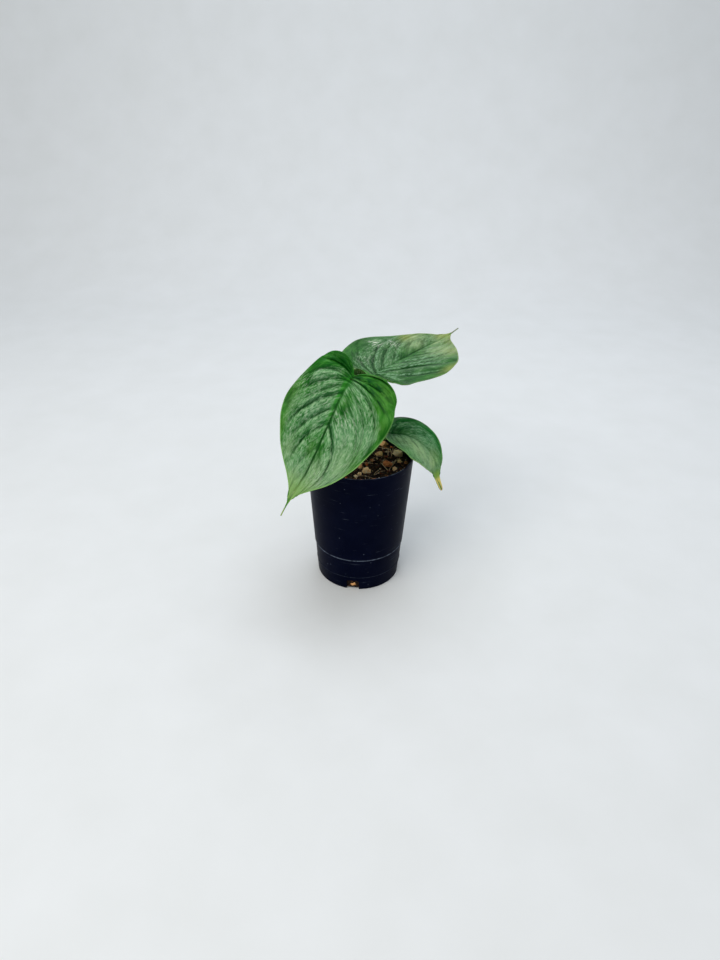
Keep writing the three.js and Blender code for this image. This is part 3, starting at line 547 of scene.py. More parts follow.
def makeBlade(key, leaf, materials):
    form = bladeForm
    at, length, ribLength = makeSheet(leaf)
    halves = [makeHalf(leaf, length, ribLength, half) for half in (0, 1)]
    stepScale, acrossScale = form["puckerScale"]
    for half, grid in enumerate(halves):
        place, normal = at(grid["flat"][..., 0], grid["flat"][..., 1], half)
        pucker = np.array([[noise.noise(Vector((s * stepScale + 9 * half, c * acrossScale, leaf["twist"])))
                            for s, c in zip(*row)] for row in zip(grid["step"], grid["w"])])
        lift = grid["lift"] + form["pucker"] * pucker * smoothStep(grid["edge"], *form["puckerOffMargin"])
        grid["place"] = place + normal * (lift + form["thickness"] / 2)[..., None]
        grid["side"] = np.full(lift.shape, 1 - 2 * half)
    grid = {name: joinHalves([part[name] for part in halves]) for name in halves[0]}
    rows, columns = grid["w"].shape
    clearSelection()
    bpy.ops.mesh.primitive_grid_add(x_subdivisions=columns - 1, y_subdivisions=rows - 1, size=1,
                                    location=(0, 0, 0))
    piece = bpy.context.object
    mesh = piece.data
    mesh.vertices.foreach_set("co", (grid["place"] * mm).astype(np.float32).ravel())
    loops = np.zeros(len(mesh.loops), int)
    mesh.loops.foreach_get("vertex_index", loops)
    mesh.uv_layers.remove(mesh.uv_layers[0])
    x, y = grid["flat"][..., 0] / length, grid["flat"][..., 1] / length
    for name, u, v in (("veins", grid["step"], grid["w"] * grid["side"]), ("plane", x, y * grid["side"])):
        values = np.stack([u.ravel(), v.ravel()], axis=-1)[loops]
        mesh.uv_layers.new(name=name).uv.foreach_set("vector", values.astype(np.float32).ravel())
    for name in paintNames:
        paintCorners(piece, name, grid[name])
    group = piece.vertex_groups.new(name="thick")
    for k, value in enumerate(grid["thick"].ravel() / form["ribThick"]):
        group.add([k], float(value), "REPLACE")
    mesh.update()
    pick(piece)
    bpy.ops.object.mode_set(mode="EDIT")
    bpy.ops.mesh.select_all(action="SELECT")
    bpy.ops.mesh.remove_doubles(threshold=doublesApart / 2)
    bpy.ops.object.mode_set(mode="OBJECT")
    for material in materials:
        mesh.materials.append(material)
    solidify = piece.modifiers.new("thickness", "SOLIDIFY")
    solidify.thickness = form["ribThick"] * mm
    solidify.offset = -1
    solidify.vertex_group = "thick"
    solidify.use_quality_normals = True
    solidify.material_offset = 1
    solidify.material_offset_rim = 2
    applyModifiers(piece)
    finishPiece(piece, "leaf" + key.capitalize(), None, 60, leaf["slot"], "blade_" + key)


def upperLeafMaterial(name, look):
    # A living leaf: waxed skin over deep green, with air pockets below it that read as broken silver flecks
    material, tree, shader = newMaterial(name, {
        "Subsurface Weight": 0.08, "Subsurface Scale": 0.001, "Subsurface Radius": (0.5, 1, 0.3),
        "Specular IOR Level": look["shine"]})
    plane = addNode(tree, "UVMap", uv_map="plane")
    veins = addNode(tree, "UVMap", uv_map="veins")
    along = addNode(tree, "SeparateXYZ", (plane,)).outputs["X"]
    painted = {key: addNode(tree, "Attribute", attribute_name=key).outputs["Fac"] for key in paintNames}

    # flecks some 1.5 x 4 mm and streaks 3 x 10 mm that follow the veins, and clouds of about 20 mm
    noises = {}
    for key, way, scale, shift, detail, distortion in (("fleck", veins, (6.5, 21, 1), 0, 4, 0.35),
                                                       ("streak", veins, (3.2, 6.5, 1), 3, 4, 0.45),
                                                       ("cloud", plane, (look["cloudScale"],) * 3, 0, 3, 0)):
        place = addNode(tree, "Mapping", {"Vector": way, "Scale": scale, "Location": (shift, shift, 0)})
        noises[key] = addNode(tree, "TexNoise", {"Vector": place, "Scale": 1, "Detail": detail,
                                                 "Roughness": 0.6, "Distortion": distortion})
    mottle = 0
    for value, weight in ((noises["fleck"], 0.4), (noises["streak"], 0.5), (noises["cloud"], 0.3),
                          (painted["silver"], look["silverSpread"])):
        mottle = addNode(tree, "Math", (value, weight, mottle), operation="MULTIPLY_ADD")
    silverShare = addNode(tree, "MapRange", (mottle, *look["silverRange"], 0, look["silver"]),
                          interpolation_type="SMOOTHSTEP")
    tone = addNode(tree, "Math", (noises["streak"], noises["cloud"]), operation="ADD")
    tone = addNode(tree, "Math", (tone, 0.5), operation="MULTIPLY")
    green = addNode(tree, "ValToRGB", (tone,), look["greens"])
    silver = addNode(tree, "ValToRGB", (noises["fleck"],), look["silvers"])
    colour = addNode(tree, "Mix", {0: silverShare, 6: green, 7: silver}, data_type="RGBA")

    # over that lie soft patches, and bands along the veins and the margin, each broken up by a noise; the
    # glints, and the pale and dark bands beside the veins, are painted highlight and painted shade
    for tint, paint, band, (key, fromValue, toValue, least) in leafLayers:
        share = painted[paint]
        if band:
            line, beside, reach, core, whole = band
            off = addNode(tree, "Math", (painted[line], beside), operation="SUBTRACT")
            off = addNode(tree, "Math", (off,), operation="ABSOLUTE")
            near = addNode(tree, "MapRange", (off, reach, core, 0, whole), interpolation_type="SMOOTHSTEP")
            share = addNode(tree, "Math", (share, near), operation="MULTIPLY")
        broken = addNode(tree, "MapRange", (noises[key], fromValue, toValue, least),
                         interpolation_type="SMOOTHSTEP")
        share = addNode(tree, "Math", (share, broken), operation="MULTIPLY", use_clamp=True)
        colour = addNode(tree, "Mix", {0: share, 6: colour, 7: look[tint]}, data_type="RGBA")
    for low, high, amount, tint in look["tip"]:
        share = addNode(tree, "MapRange", (along, low, high, 0, amount), interpolation_type="SMOOTHSTEP")
        colour = addNode(tree, "Mix", {0: share, 6: colour, 7: tint}, data_type="RGBA")

    # silver skin is a little duller than the green; fine cells give the shine its grain
    gloss = addNode(tree, "MapRange", (silverShare, 0, 1, look["gloss"], look["gloss"] + 0.12))
    place = addNode(tree, "TexCoord").outputs["Object"]
    cells = addNode(tree, "TexNoise", {"Vector": place, "Scale": 1 / (0.9 * mm), "Detail": 2})
    relief = addNode(tree, "Math", (cells, 0.25, noises["fleck"]), operation="MULTIPLY_ADD")
    bump = addNode(tree, "Bump", {"Height": relief, "Strength": 0.5, "Distance": 0.5 * mm})
    setSockets(shader, {"Base Color": colour, "Roughness": gloss, "Normal": bump})
    return material


# For each layer its colour, its paint, its band and the noise that breaks it up. A band lies so many mm
# beside a line, reaches so far out, is whole within its core, and has a largest share. The noise counts
# between two of its values, down to a least share.
leafLayers = (
    ("pale", "pale", None, ("streak", 0.3, 0.6, 0.6)),
    ("olive", "olive", None, ("fleck", 0.3, 0.6, 0.55)),
    ("deep", "deep", None, ("streak", 0.65, 0.4, 0.6)),
    ("fringe", "fringe", ("rib", 1, 3.6, 1, 0.9), ("streak", 0.3, 0.55, 0.75)),
    # lip is a painted highlight along the lit side of each vein's furrow, band painted shade along its
    # shaded side
    ("lip", "lip", ("beside", 2.2, 1.6, 0.4, 0.7), ("fleck", 0.4, 0.6, 0)),
    ("band", "strength", ("beside", -1.1, 3.4, 0.4, 0.75), ("streak", 0.64, 0.42, 0.1)),
    ("vein", "strength", ("beside", 0, 1.5, 0.2, 0.85), ("streak", 0.66, 0.44, 0.25)),
    ("vein", "all", ("minor", 0, 0.9, 0.2, 0.14), ("streak", 0.6, 0.4, 0.3)),
    ("vein", "ribDark", ("rib", -0.5, 1.6, 0.5, 0.9), ("streak", 0.1, 0.2, 0.9)),
    # painted highlights: pale glints of reflected light, broken up by the flecks
    ("bloom", "bloom", None, ("fleck", 0.48, 0.6, 0)),
    ("hem", "hem", ("edge", 0, 1.3, 0.4, 1), ("streak", 0.3, 0.5, 0.6)),
)
matureLook = {
    "cloudScale": 7, "silverSpread": 0.4, "silverRange": (0.8, 1.14), "silver": 0.82,
    "greens": [(0.38, "075406"), (0.5, "26761c"), (0.62, "52993e")],
    # the glint colour is a painted highlight
    "silvers": [(0.34, "4a8252"), (0.5, "7caa7c"), (0.64, "aac6a4")], "pale": "a3c490", "bloom": "d8e2cf",
    "olive": "558c2e", "deep": "004a00", "fringe": "38962a", "vein": "033f08",
    # band and lip colour the painted shade and the painted highlight beside each vein
    "band": "0b521e", "lip": "93c08b", "hem": "8fc070", "shine": 0.09, "gloss": 0.4,
    "tip": [(0.76, 0.96, 0.7, "93bb68"), (0.96, 1.04, 1, "86b040"), (1.04, 1.12, 1, "b3c66a")],
}
# here too band is painted shade and lip a painted highlight beside each vein
rearLook = dict(matureLook, silverRange=(0.84, 1.1), silver=0.68, gloss=0.28, shine=0.1, olive="9aa95c",
                greens=[(0.38, "124c12"), (0.5, "2f6c2a"), (0.62, "4a843c")],
                silvers=[(0.32, "3c6a40"), (0.5, "5c8b5a"), (0.64, "93b48e")], pale="b8cc98",
                deep="07450c", vein="023a08", band="0c4218", lip="7aa67e", hem="a9bd7e",
                tip=[(0.86, 1.0, 0.8, "a4b568"), (1.0, 1.04, 1, "8f8a74")])
youngLook = dict(matureLook, silverRange=(0.84, 1.12), gloss=0.36, olive="62a04a",
                 greens=[(0.38, "0c581a"), (0.5, "267432"), (0.62, "46924a")],
                 silvers=[(0.32, "46855c"), (0.5, "6fa778"), (0.66, "9cc69c")], pale="b2d094",
                 deep="003c08", vein="064a18", band="145632", lip="8cbf94", hem="a4c482",
                 tip=[(0.84, 0.96, 1, "86ad4c"), (0.96, 1.04, 1, "e8d77a"), (1.1, 1.17, 1, "efc98a")])



def underLeafMaterial():
    # The leaf's underside: unwaxed, paler and duller than the top, with light green raised veins
    material, tree, shader = newMaterial("leafUnderside", {
        "Roughness": 0.55, "Specular IOR Level": 0.15, "Subsurface Weight": 0.12, "Subsurface Scale": 0.001,
        "Subsurface Radius": (0.5, 1, 0.3)})
    place = addNode(tree, "Mapping", {"Vector": addNode(tree, "UVMap", uv_map="veins"), "Scale": (6, 7, 1)})
    clouds = addNode(tree, "TexNoise", {"Vector": place, "Scale": 1, "Detail": 5, "Roughness": 0.6})
    colour = addNode(tree, "ValToRGB", (clouds,), [(0.3, "557a4c"), (0.7, "7ea06f")])
    beside, rib, edge = (addNode(tree, "Attribute", attribute_name=key).outputs["Fac"]
                         for key in ("beside", "rib", "edge"))
    offVein, offRib = (addNode(tree, "Math", (off,), operation="ABSOLUTE") for off in (beside, rib))
    nearest = addNode(tree, "Math", (offVein, offRib), operation="MINIMUM")
    raised = addNode(tree, "MapRange", (nearest, 1.2, 0.4, 0, 0.55), interpolation_type="SMOOTHSTEP")
    inside = addNode(tree, "MapRange", (edge, 1, 4))
    raised = addNode(tree, "Math", (raised, inside), operation="MULTIPLY")
    colour = addNode(tree, "Mix", {0: inside, 6: "2f7d24", 7: colour}, data_type="RGBA")
    colour = addNode(tree, "Mix", {0: raised, 6: colour, 7: "a3bd7c"}, data_type="RGBA")
    place = addNode(tree, "TexCoord").outputs["Object"]
    grain = addNode(tree, "TexNoise", {"Vector": place, "Scale": 1 / (0.7 * mm), "Detail": 3})
    bump = addNode(tree, "Bump", {"Height": grain, "Strength": 0.3, "Distance": 0.2 * mm})
    setSockets(shader, {"Base Color": colour, "Normal": bump})
    return material


underside = underLeafMaterial()
# The leaf's rim: a thin, nearly clear strip that catches light as a pale line
rim = grainedMaterial("leafRim", {"Roughness": 0.5, "Specular IOR Level": 0.1},
                      [(0.35, "22601a"), (0.65, "5b983f")], 9, 3)
looks = {"front": matureLook, "rear": rearLook, "right": youngLook}
for key, leaf in leaves.items():
    makeBlade(key, leaf, [upperLeafMaterial("leafSkin" + key.capitalize(), looks[key]), underside, rim])


# Stalks: round below, with a shallow channel above along their whole length

stalkForm = {"rings": 60, "sides": 28, "channel": 0.16, "channelWidth": 0.5, "flare": 7, "lean": 0.25,
             "knee": 0.9, "kneeAt": 0.88, "kneeSpread": 0.1, "kneeShadeReach": 36}


def makeStalk(key, leaf, skin):
    form, at = stalkForm, makeSheet(leaf)[0]
    low, high = leaf["stalkRadius"]
    place, normal = (value[0] for value in at(np.array([high * 0.9]), np.array([0.0]), 0))
    top = place - normal * bladeForm["thickness"] * 0.6
    points = evenly(leaf["stalk"] + [place - normal * leaf["stalkEnd"], top], form["rings"])
    share = np.linspace(0, 1, form["rings"] + 1)
    radii = high + (low - high) * np.exp(-form["flare"] * share) + form["lean"] * (1 - share)
    radii += form["knee"] * bell(share - form["kneeAt"], form["kneeSpread"])
    outline = []
    for x, y in roundOutline(form["sides"]):
        dip = 1 - form["channel"] * bell(math.atan2(y, x) - math.pi / 2, form["channelWidth"])
        outline.append((x * dip, y * dip))
    piece = sweep(points, radii, outline)
    offTop = [(corner.co / mm - Vector(top)).length for corner in piece.data.vertices]
    # painted shade: the knee number darkens the skin towards the stalk's top end, where it lies in the
    # leaves' shadow
    paintCorners(piece, "knee", leaf["kneeShade"] * np.exp(-(np.array(offTop) / form["kneeShadeReach"]) ** 4))
    finishPiece(piece, "stalk" + key.capitalize(), skin, 50, "petiole", "petiole_" + key)


# Fleshy leaf stalk: fresh green skin with a soft shine and short pale lengthwise flecks, darkened to near
# black green at its top end by painted shade, where it lies in the leaves' shadow
stalkSkin = grainedMaterial(
    "leafStalk", {"Roughness": 0.6, "Specular IOR Level": 0, "Subsurface Weight": 0.15,
                  "Subsurface Scale": 0.0015, "Subsurface Radius": (0.6, 1, 0.3)},
    [(0.35, "3f6e2c"), (0.55, "659242"), (0.68, "b5c98a")], (1.1, 1.1, 7), 4, 0.6, (0.3, 0.3),
    ("knee", "08240c"))
for key, leaf in leaves.items():
    makeStalk(key, leaf, stalkSkin)


# Stem with its nodes and two aerial roots, the rolled leaf on its tip, and the roots in the mix

stemForm = {
    "path": [(-3, 3, 97), (-2.5, 4, 112), (-1.5, 4.5, 130), (0, 4.5, 150)], "radius": (4.6, 3.5),
    "nodes": (123, 132, 140), "nodeSwell": 0.8, "nodeSpread": 1.8, "scarRise": 1.5, "scarDepth": 0.35,
    "scarSpread": 0.35, "rings": 150, "sides": 36,
    "aerialPaths": [[(-2, 2, 127), (-9, -4, 125.5), (-13, -9, 119), (-14.5, -11, 104)],
                    [(-1, 6, 125), (6, 11, 124.5), (10, 14, 118), (11, 16, 103)]],
    "aerialRadius": (1.485, 0.77), "aerialSides": 16,
}
# lip: the free edge of the roll stands this share of the radius above the turn below it
rolledForm = {"path": [(0, 4.5, 149.6), (0, 5, 158), (-0.5, 6, 180), (0, 7, 203)], "radius": (2.9, 0.35),
              "rings": 60, "sides": 40, "lip": 0.2}
rootForm = {"crown": (-3, 3, 96.2), "crownRadius": 5, "radius": (1.9, 0.8), "count": 6, "reach": 27,
            "depth": 66, "firstAngle": 15, "rings": 40, "sides": 12, "wander": 1.1}


def rootMaterial(name, stops):
    # Aroid root or coir: matt, finely ridged skin, with earth held in its dips
    return grainedMaterial(name, {"Roughness": 0.8}, stops, 1.4, 6, 0.65, (0.6, 0.4))


def joinPieces(pieces, *labels):
    pick(*pieces)
    bpy.ops.object.join()
    finishPiece(bpy.context.object, *labels)


def makeStem():
    form = stemForm
    points = evenly(form["path"], form["rings"])
    radii = np.linspace(*form["radius"], form["rings"] + 1)
    rings = np.zeros_like(radii)
    for height in form["nodes"]:
        off = points[:, 2] - height
        swell, scar = bell(off, form["nodeSpread"]), bell(off - form["scarRise"], form["scarSpread"])
        radii += form["nodeSwell"] * swell - form["scarDepth"] * scar
        rings += 0.4 * swell + scar
    body = sweep(points, radii, roundOutline(form["sides"]))
    heights = [corner.co.z / mm for corner in body.data.vertices]
    paintCorners(body, "ring", np.interp(heights, points[:, 2], rings))
    # Young philodendron stem: smooth green skin, tan and corky in rings where old leaves let go
    skin = grainedMaterial("stemSkin", {"Roughness": 0.5},
                           [(0.3, "3d5a24"), (0.52, "6d7f3d"), (0.75, "a08f5c")], (1.6, 1.6, 5), 5, 0.65,
                           (0.4, 0.3), ("ring", "8d7549"))
    finishPiece(body, "stemBody", skin, 60, "stem", "stem")
    skin = rootMaterial("aerialRootSkin", [(0.3, "4c3a22"), (0.5, "8a7446"), (0.72, "b7a878")])
    for k, path in enumerate(form["aerialPaths"]):
        path = evenly(path, rootForm["rings"])
        radii = np.linspace(*form["aerialRadius"], len(path))
        radii *= [1 + 0.14 * noise.noise(Vector(place) * 0.5) for place in path]
        root = sweep(path, radii, roundOutline(form["aerialSides"]))
        finishPiece(root, f"aerialRoot{k + 1}", skin, 60, "stem")


def makeRolledLeaf():
    form = rolledForm
    low, high = form["radius"]
    radii = low + (high - low) * np.linspace(0, 1, form["rings"] + 1) ** 1.3
    outline = roundOutline(form["sides"])
    for k, (x, y) in enumerate(outline):
        wound = 1 - form["lip"] * k / form["sides"]
        outline[k] = (x * wound, y * wound)
    piece = sweep(evenly(form["path"], form["rings"]), radii, outline)
    # The next leaf, still rolled: tender, lighter green with lengthwise stripes
    skin = grainedMaterial("rolledLeafSkin", {"Roughness": 0.38, "Subsurface Weight": 0.15,
                                              "Subsurface Scale": 0.001, "Subsurface Radius": (0.6, 1, 0.3)},
                           [(0.35, "6f9a45"), (0.55, "93b45c"), (0.7, "c2d089")], (0.9, 0.9, 16), 3, 0.5,
                           (0.25, 0.25))
    finishPiece(piece, "rolledLeaf", skin, 40, "wrap_leaf", "wrap_leaf")


def makeRoots():
    form = rootForm
    x, y, z = form["crown"]
    path = evenly([(x, y, z - 9), (x, y, z - 5), (x, y, z)], 12)
    strands = [sweep(path, np.linspace(0.7, 1, 13) * form["crownRadius"], roundOutline(24))]
    for k in range(form["count"]):
        turn = math.radians(form["firstAngle"] + 360 / form["count"] * k)
        reach = form["reach"] * (0.7 if k % 2 else 1)
        depth = form["depth"] * (1 if k % 2 else 0.75)
        stops = [(1, 6), (reach * 0.45, 16), (reach * 0.8, depth * 0.5), (reach, depth)]
        path = [(x + out * math.cos(turn), y + out * math.sin(turn), z - down) for out, down in stops]
        path = evenly(path, form["rings"])
        for place in path:
            place += form["wander"] * np.array(noise.noise_vector(Vector(place) * 0.11 + Vector((k, 0, 0))))
        strands.append(sweep(path, np.linspace(*form["radius"], len(path)), roundOutline(form["sides"])))
    skin = rootMaterial("buriedRootSkin", [(0.3, "6e5434"), (0.5, "b49a6c"), (0.72, "d8c79c")])
    joinPieces(strands, "buriedRoots", skin, 60, "roots", "roots")


makeStem()
makeRolledLeaf()
makeRoots()


# Potting mix: a bed of dark peat with bark, pumice, crumbs and coir fibres

mixForm = {"top": 118, "crown": 1.6, "relief": 0.66, "gap": 0.3, "sides": 144, "rings": 70, "grain": 0.8}
potForm = {
    "height": 130, "rimRadius": 49.5, "footRadius": 40, "wall": 1.3, "floor": 1.5, "shoulderHeight": 36,
    "shoulderStep": 0.7, "lineHeight": 15, "lineStep": 0.3, "footRounding": 1, "sides": 192,
}
notchForm = {"count": 4, "width": 12, "height": 11, "depth": 9, "topRounding": 3, "firstAngle": -97}
chipForm = {
    # x, y, length, width, height, kind and tone of the pieces seen beside the leaves
    "seen": [(23, 36, 8.5, 7.5, 6.5, "pumice", 0.55), (18, 15, 7.5, 6.6, 5.8, "pumice", 0.62),
             (36, 15, 12.5, 9.5, 6.8, "pumice", 0.8), (26, -4, 13, 9, 6, "bark", 0.7),
             (6, -18, 8.4, 7.2, 6, "pumice", 0.68), (0, -24, 4.5, 4, 4, "pumice", 0.7),
             (-4, -27, 4, 3.5, 3.5, "pumice", 0.75), (32, -13, 4.5, 4, 4, "pumice", 0.7),
             (37, 1, 4.5, 4, 4, "pumice", 0.65)],
    # for each kind its first seed, number of cuts, their depth and its roughness
    "forms": {"bark": (11, 10, 0.32, 0.12), "pumice": (31, 7, 0.26, 0.24)},
    "strewn": 48, "smallest": 4.5, "largest": 11, "enlarged": 1.06, "apart": 0.4, "clearOfStem": 7,
    "clearOfRoots": 4, "clearOfWall": 1.2, "mostTries": 4000, "seed": 4127, "skipped": 12,
    "notchAngle": -97, "notchRadius": 36, "notchHeight": 6, "notchSize": 7.4,
}
crumbForm = {"count": 420, "sizes": (1.2, 3.2), "clearOfStem": 5, "clearOfWall": 1.2, "seed": 911}
fibreForm = {
    # splinters and roots seen there, each a line of places and its radius
    "seen": [([(20, -5), (22.6, -11), (25.3, -16.5)], 0.34), ([(27.2, 25), (26.6, 18), (26.4, 11.3)], 0.42),
             ([(26.6, -16.4), (29.6, -9), (32.6, -1.7)], 0.3), ([(28.6, 25), (30, 17), (29.6, 9.5)], 0.36),
             ([(12.9, -24), (16, -18.6), (19.9, -13)], 0.24), ([(31.4, 21), (33.5, 25), (35.9, 27.3)], 0.34),
             ([(14.7, -24), (18.4, -20.3), (22.9, -19.2)], 0.24)],
    "strewn": 55, "length": (8, 22), "radius": 0.25, "steps": 8, "clearOfWall": 2, "seed": 377,
}


def potRadius(height):
    slope = (potForm["rimRadius"] - potForm["footRadius"] - potForm["shoulderStep"]) / potForm["height"]
    step = potForm["shoulderStep"] if height > potForm["shoulderHeight"] else 0
    return potForm["footRadius"] + slope * height + step


def mixHeight(x, y):
    out = math.hypot(x, y) / potForm["rimRadius"]
    waves = math.sin(0.31 * x + 0.9) * math.cos(0.27 * y - 0.4) + 0.6 * math.sin(0.17 * x - 0.43 * y + 2)
    return mixForm["top"] + mixForm["crown"] * (1 - out * out) + mixForm["relief"] * waves


def mixReach(clearance):  # how far out things may lie on the mix
    return potRadius(mixForm["top"]) - potForm["wall"] - clearance


def stemDistance(x, y):
    return math.hypot(x - stemForm["path"][0][0], y - stemForm["path"][0][1])


def makeBed():
    form, shoulder = mixForm, potForm["shoulderHeight"]
    heights = (potForm["floor"] + form["gap"], shoulder - 0.9, shoulder + 1.4, form["top"] - 3)
    profile = [(potRadius(height) - potForm["wall"] - form["gap"], height) for height in heights]
    rim = profile[-1][0] - 0.4
    profile += [(rim * (1 - k / form["rings"]), form["top"]) for k in range(form["rings"] + 1)]
    bed = lathe(profile, form["sides"])
    for corner in bed.data.vertices:
        x, y, z = corner.co / mm
        if z > form["top"] - 1:
            crumbs = noise.fractal(Vector((x, y, 0)) * 0.28, 0.8, 2.1, 4)
            inward = min(1, (rim - math.hypot(x, y)) / 2 + 0.2)
            corner.co.z = (mixHeight(x, y) + form["grain"] * crumbs * inward) * mm
    # Damp peat and coir: near black and matt, with brown crumbs and a few pale specks
    peat = grainedMaterial("peat", {"Roughness": 0.95, "Specular IOR Level": 0.25},
                           [(0.36, "040202"), (0.53, "23140b"), (0.64, "644024"), (0.76, "b8844e")],
                           2.4, 7, 0.7, (0.9, 1))
    finishPiece(bed, "peatBed", peat, 40, "potting_mix", "potting_mix")


def chipMaterial(name, stops, cells, roughness, pits):
    # Pieces of bark or pumice: each has its own tone, with a layered grain or open pores
    return grainedMaterial(name, {"Roughness": roughness, "Specular IOR Level": 0.35}, stops, cells, 6, 0.7,
                           (pits, 0.6), contrast=1.4)


def makeChipForm(seed, subdivisions, cuts, cutDepth, roughen):  # a unit lump, broken by flat cuts, then worn
    draw = randomNumbers(seed)
    clearSelection()
    bpy.ops.mesh.primitive_ico_sphere_add(subdivisions=subdivisions, radius=0.5, location=(0, 0, 0))
    chip = bpy.context.object
    bpy.ops.object.mode_set(mode="EDIT")
    for k in range(cuts):
        turn, rise = 2 * math.pi * next(draw), 2 * next(draw) - 1
        normal = Vector((*spotAt(math.sqrt(1 - rise * rise), turn), rise))
        bpy.ops.mesh.select_all(action="SELECT")
        bpy.ops.mesh.bisect(plane_co=normal * (0.5 - cutDepth * (0.4 + 0.6 * next(draw))), plane_no=normal,
                            use_fill=True, clear_outer=True)
    bpy.ops.mesh.select_all(action="SELECT")
    bpy.ops.mesh.remove_doubles(threshold=0.02)
    bpy.ops.mesh.quads_convert_to_tris()
    if subdivisions > 2:
        bpy.ops.mesh.subdivide(number_cuts=1, smoothness=0.1)
    bpy.ops.object.mode_set(mode="OBJECT")
    for corner in chip.data.vertices:
        corner.co *= 1 + roughen * noise.fractal(corner.co * 4 + Vector((seed, 0, 0)), 0.7, 2, 3)
    closeUp(chip)
    return chip


def placeCopy(form, place, size, turns, tone):
    copy = form.copy()
    copy.data = form.data.copy()
    bpy.context.scene.collection.objects.link(copy)
    copy.data.transform(Matrix.LocRotScale(Vector(place) * mm, Euler(turns), Vector(size) * mm))
    paintCorners(copy, "tone", np.full(len(copy.data.vertices), tone))
    return copy


def makeChips():
    form = chipForm
    forms = {kind: [makeChipForm(seed + k, 3, *cuts) for k in range(3)]
             for kind, (seed, *cuts) in form["forms"].items()}
    draw = randomNumbers(form["seed"])
    placed, taken = {"bark": [], "pumice": []}, []

    def place(spot, size, kind, tone):
        for k in range(form["skipped"]):
            next(draw)
        turns = (0.5 * (next(draw) - 0.5), 0.5 * (next(draw) - 0.5), 2 * math.pi * next(draw))
        size = Vector(size) * form["enlarged"]
        placed[kind].append(placeCopy(forms[kind][len(taken) % 3], spot, size, turns, tone))

    for x, y, length, width, height, kind, tone in form["seen"]:
        place((x, y, mixHeight(x, y) + height * 0.12), (length, width, height), kind, tone)
        taken.append((x, y, length / 2))
    reach = mixReach(form["clearOfWall"])
    tries = 0
    while len(taken) < len(form["seen"]) + form["strewn"] and tries < form["mostTries"]:
        tries += 1
        out, turn = reach * math.sqrt(next(draw)), 2 * math.pi * next(draw)
        size = form["smallest"] + (form["largest"] - form["smallest"]) * next(draw) ** 2
        x, y = spotAt(out, turn)
        clear = all(math.hypot(a - x, b - y) > r + size / 2 + form["apart"] for a, b, r in taken)
        offStem = stemDistance(x, y) > form["clearOfStem"] + size / 2
        offRoots = all(math.hypot(path[2][0] - x, path[2][1] - y) > form["clearOfRoots"] + size / 2
                       for path in stemForm["aerialPaths"])
        if clear and offStem and offRoots and out + size * 0.6 < reach:
            shape = (size, size * (0.4 + 0.35 * next(draw)), size * (0.35 + 0.3 * next(draw)))
            kind = "bark" if len(taken) % 5 < 3 else "pumice"
            tone = 0.05 + 0.65 * math.sin(len(taken) * 2.7) ** 2
            place((x, y, mixHeight(x, y) + shape[2] * 0.1), shape, kind, tone)
            taken.append((x, y, size / 2))
    x, y = spotAt(form["notchRadius"], math.radians(form["notchAngle"]))
    size = form["notchSize"]
    place((x, y, form["notchHeight"]), (size, size * 0.85, size * 0.9), "pumice", 0.45)

    bark = chipMaterial("pineBark", [(0.1, "1c0e08"), (0.38, "6f3418"), (0.6, "c9682c"), (0.95, "f2b07c")],
                        (1.6, 1.6, 0.56), 0.85, 0.9)
    pumice = chipMaterial("pumice", [(0.1, "5c3a20"), (0.36, "d89658"), (0.6, "ffca8c"), (0.95, "fff0ce")],
                          1.8, 0.9, 1)
    joinPieces(placed["bark"], "barkPieces", bark, 35, "potting_mix")
    joinPieces(placed["pumice"], "pumicePieces", pumice, 45, "potting_mix")
    for one in forms["bark"] + forms["pumice"]:
        bpy.data.objects.remove(one)


def makeCrumbs():
    form = crumbForm
    crumb = makeChipForm(71, 2, 5, 0.2, 0.1)
    draw = randomNumbers(form["seed"])
    crumbs, reach = [], mixReach(form["clearOfWall"])
    low, high = form["sizes"]
    for k in range(form["count"]):
        out, turn = reach * math.sqrt(next(draw)), 2 * math.pi * next(draw)
        size = low + (high - low) * next(draw) ** 2
        turns = [2 * math.pi * next(draw) for axis in range(3)]
        shape = (size, size * (0.5 + 0.4 * next(draw)), size * (0.4 + 0.4 * next(draw)))
        tone = next(draw) ** 2
        x, y = spotAt(out, turn)
        if stemDistance(x, y) > form["clearOfStem"] and out + size < reach:
            crumbs.append(placeCopy(crumb, (x, y, mixHeight(x, y) + size * 0.25), shape, turns, tone))
    skin = chipMaterial("mixCrumbs", [(0.1, "120b07"), (0.45, "452a18"), (0.7, "96683e"), (0.95, "efe0c4")],
                        0.8, 0.95, 0.7)
    joinPieces(crumbs, "crumbs", skin, 30, "potting_mix")
    bpy.data.objects.remove(crumb)


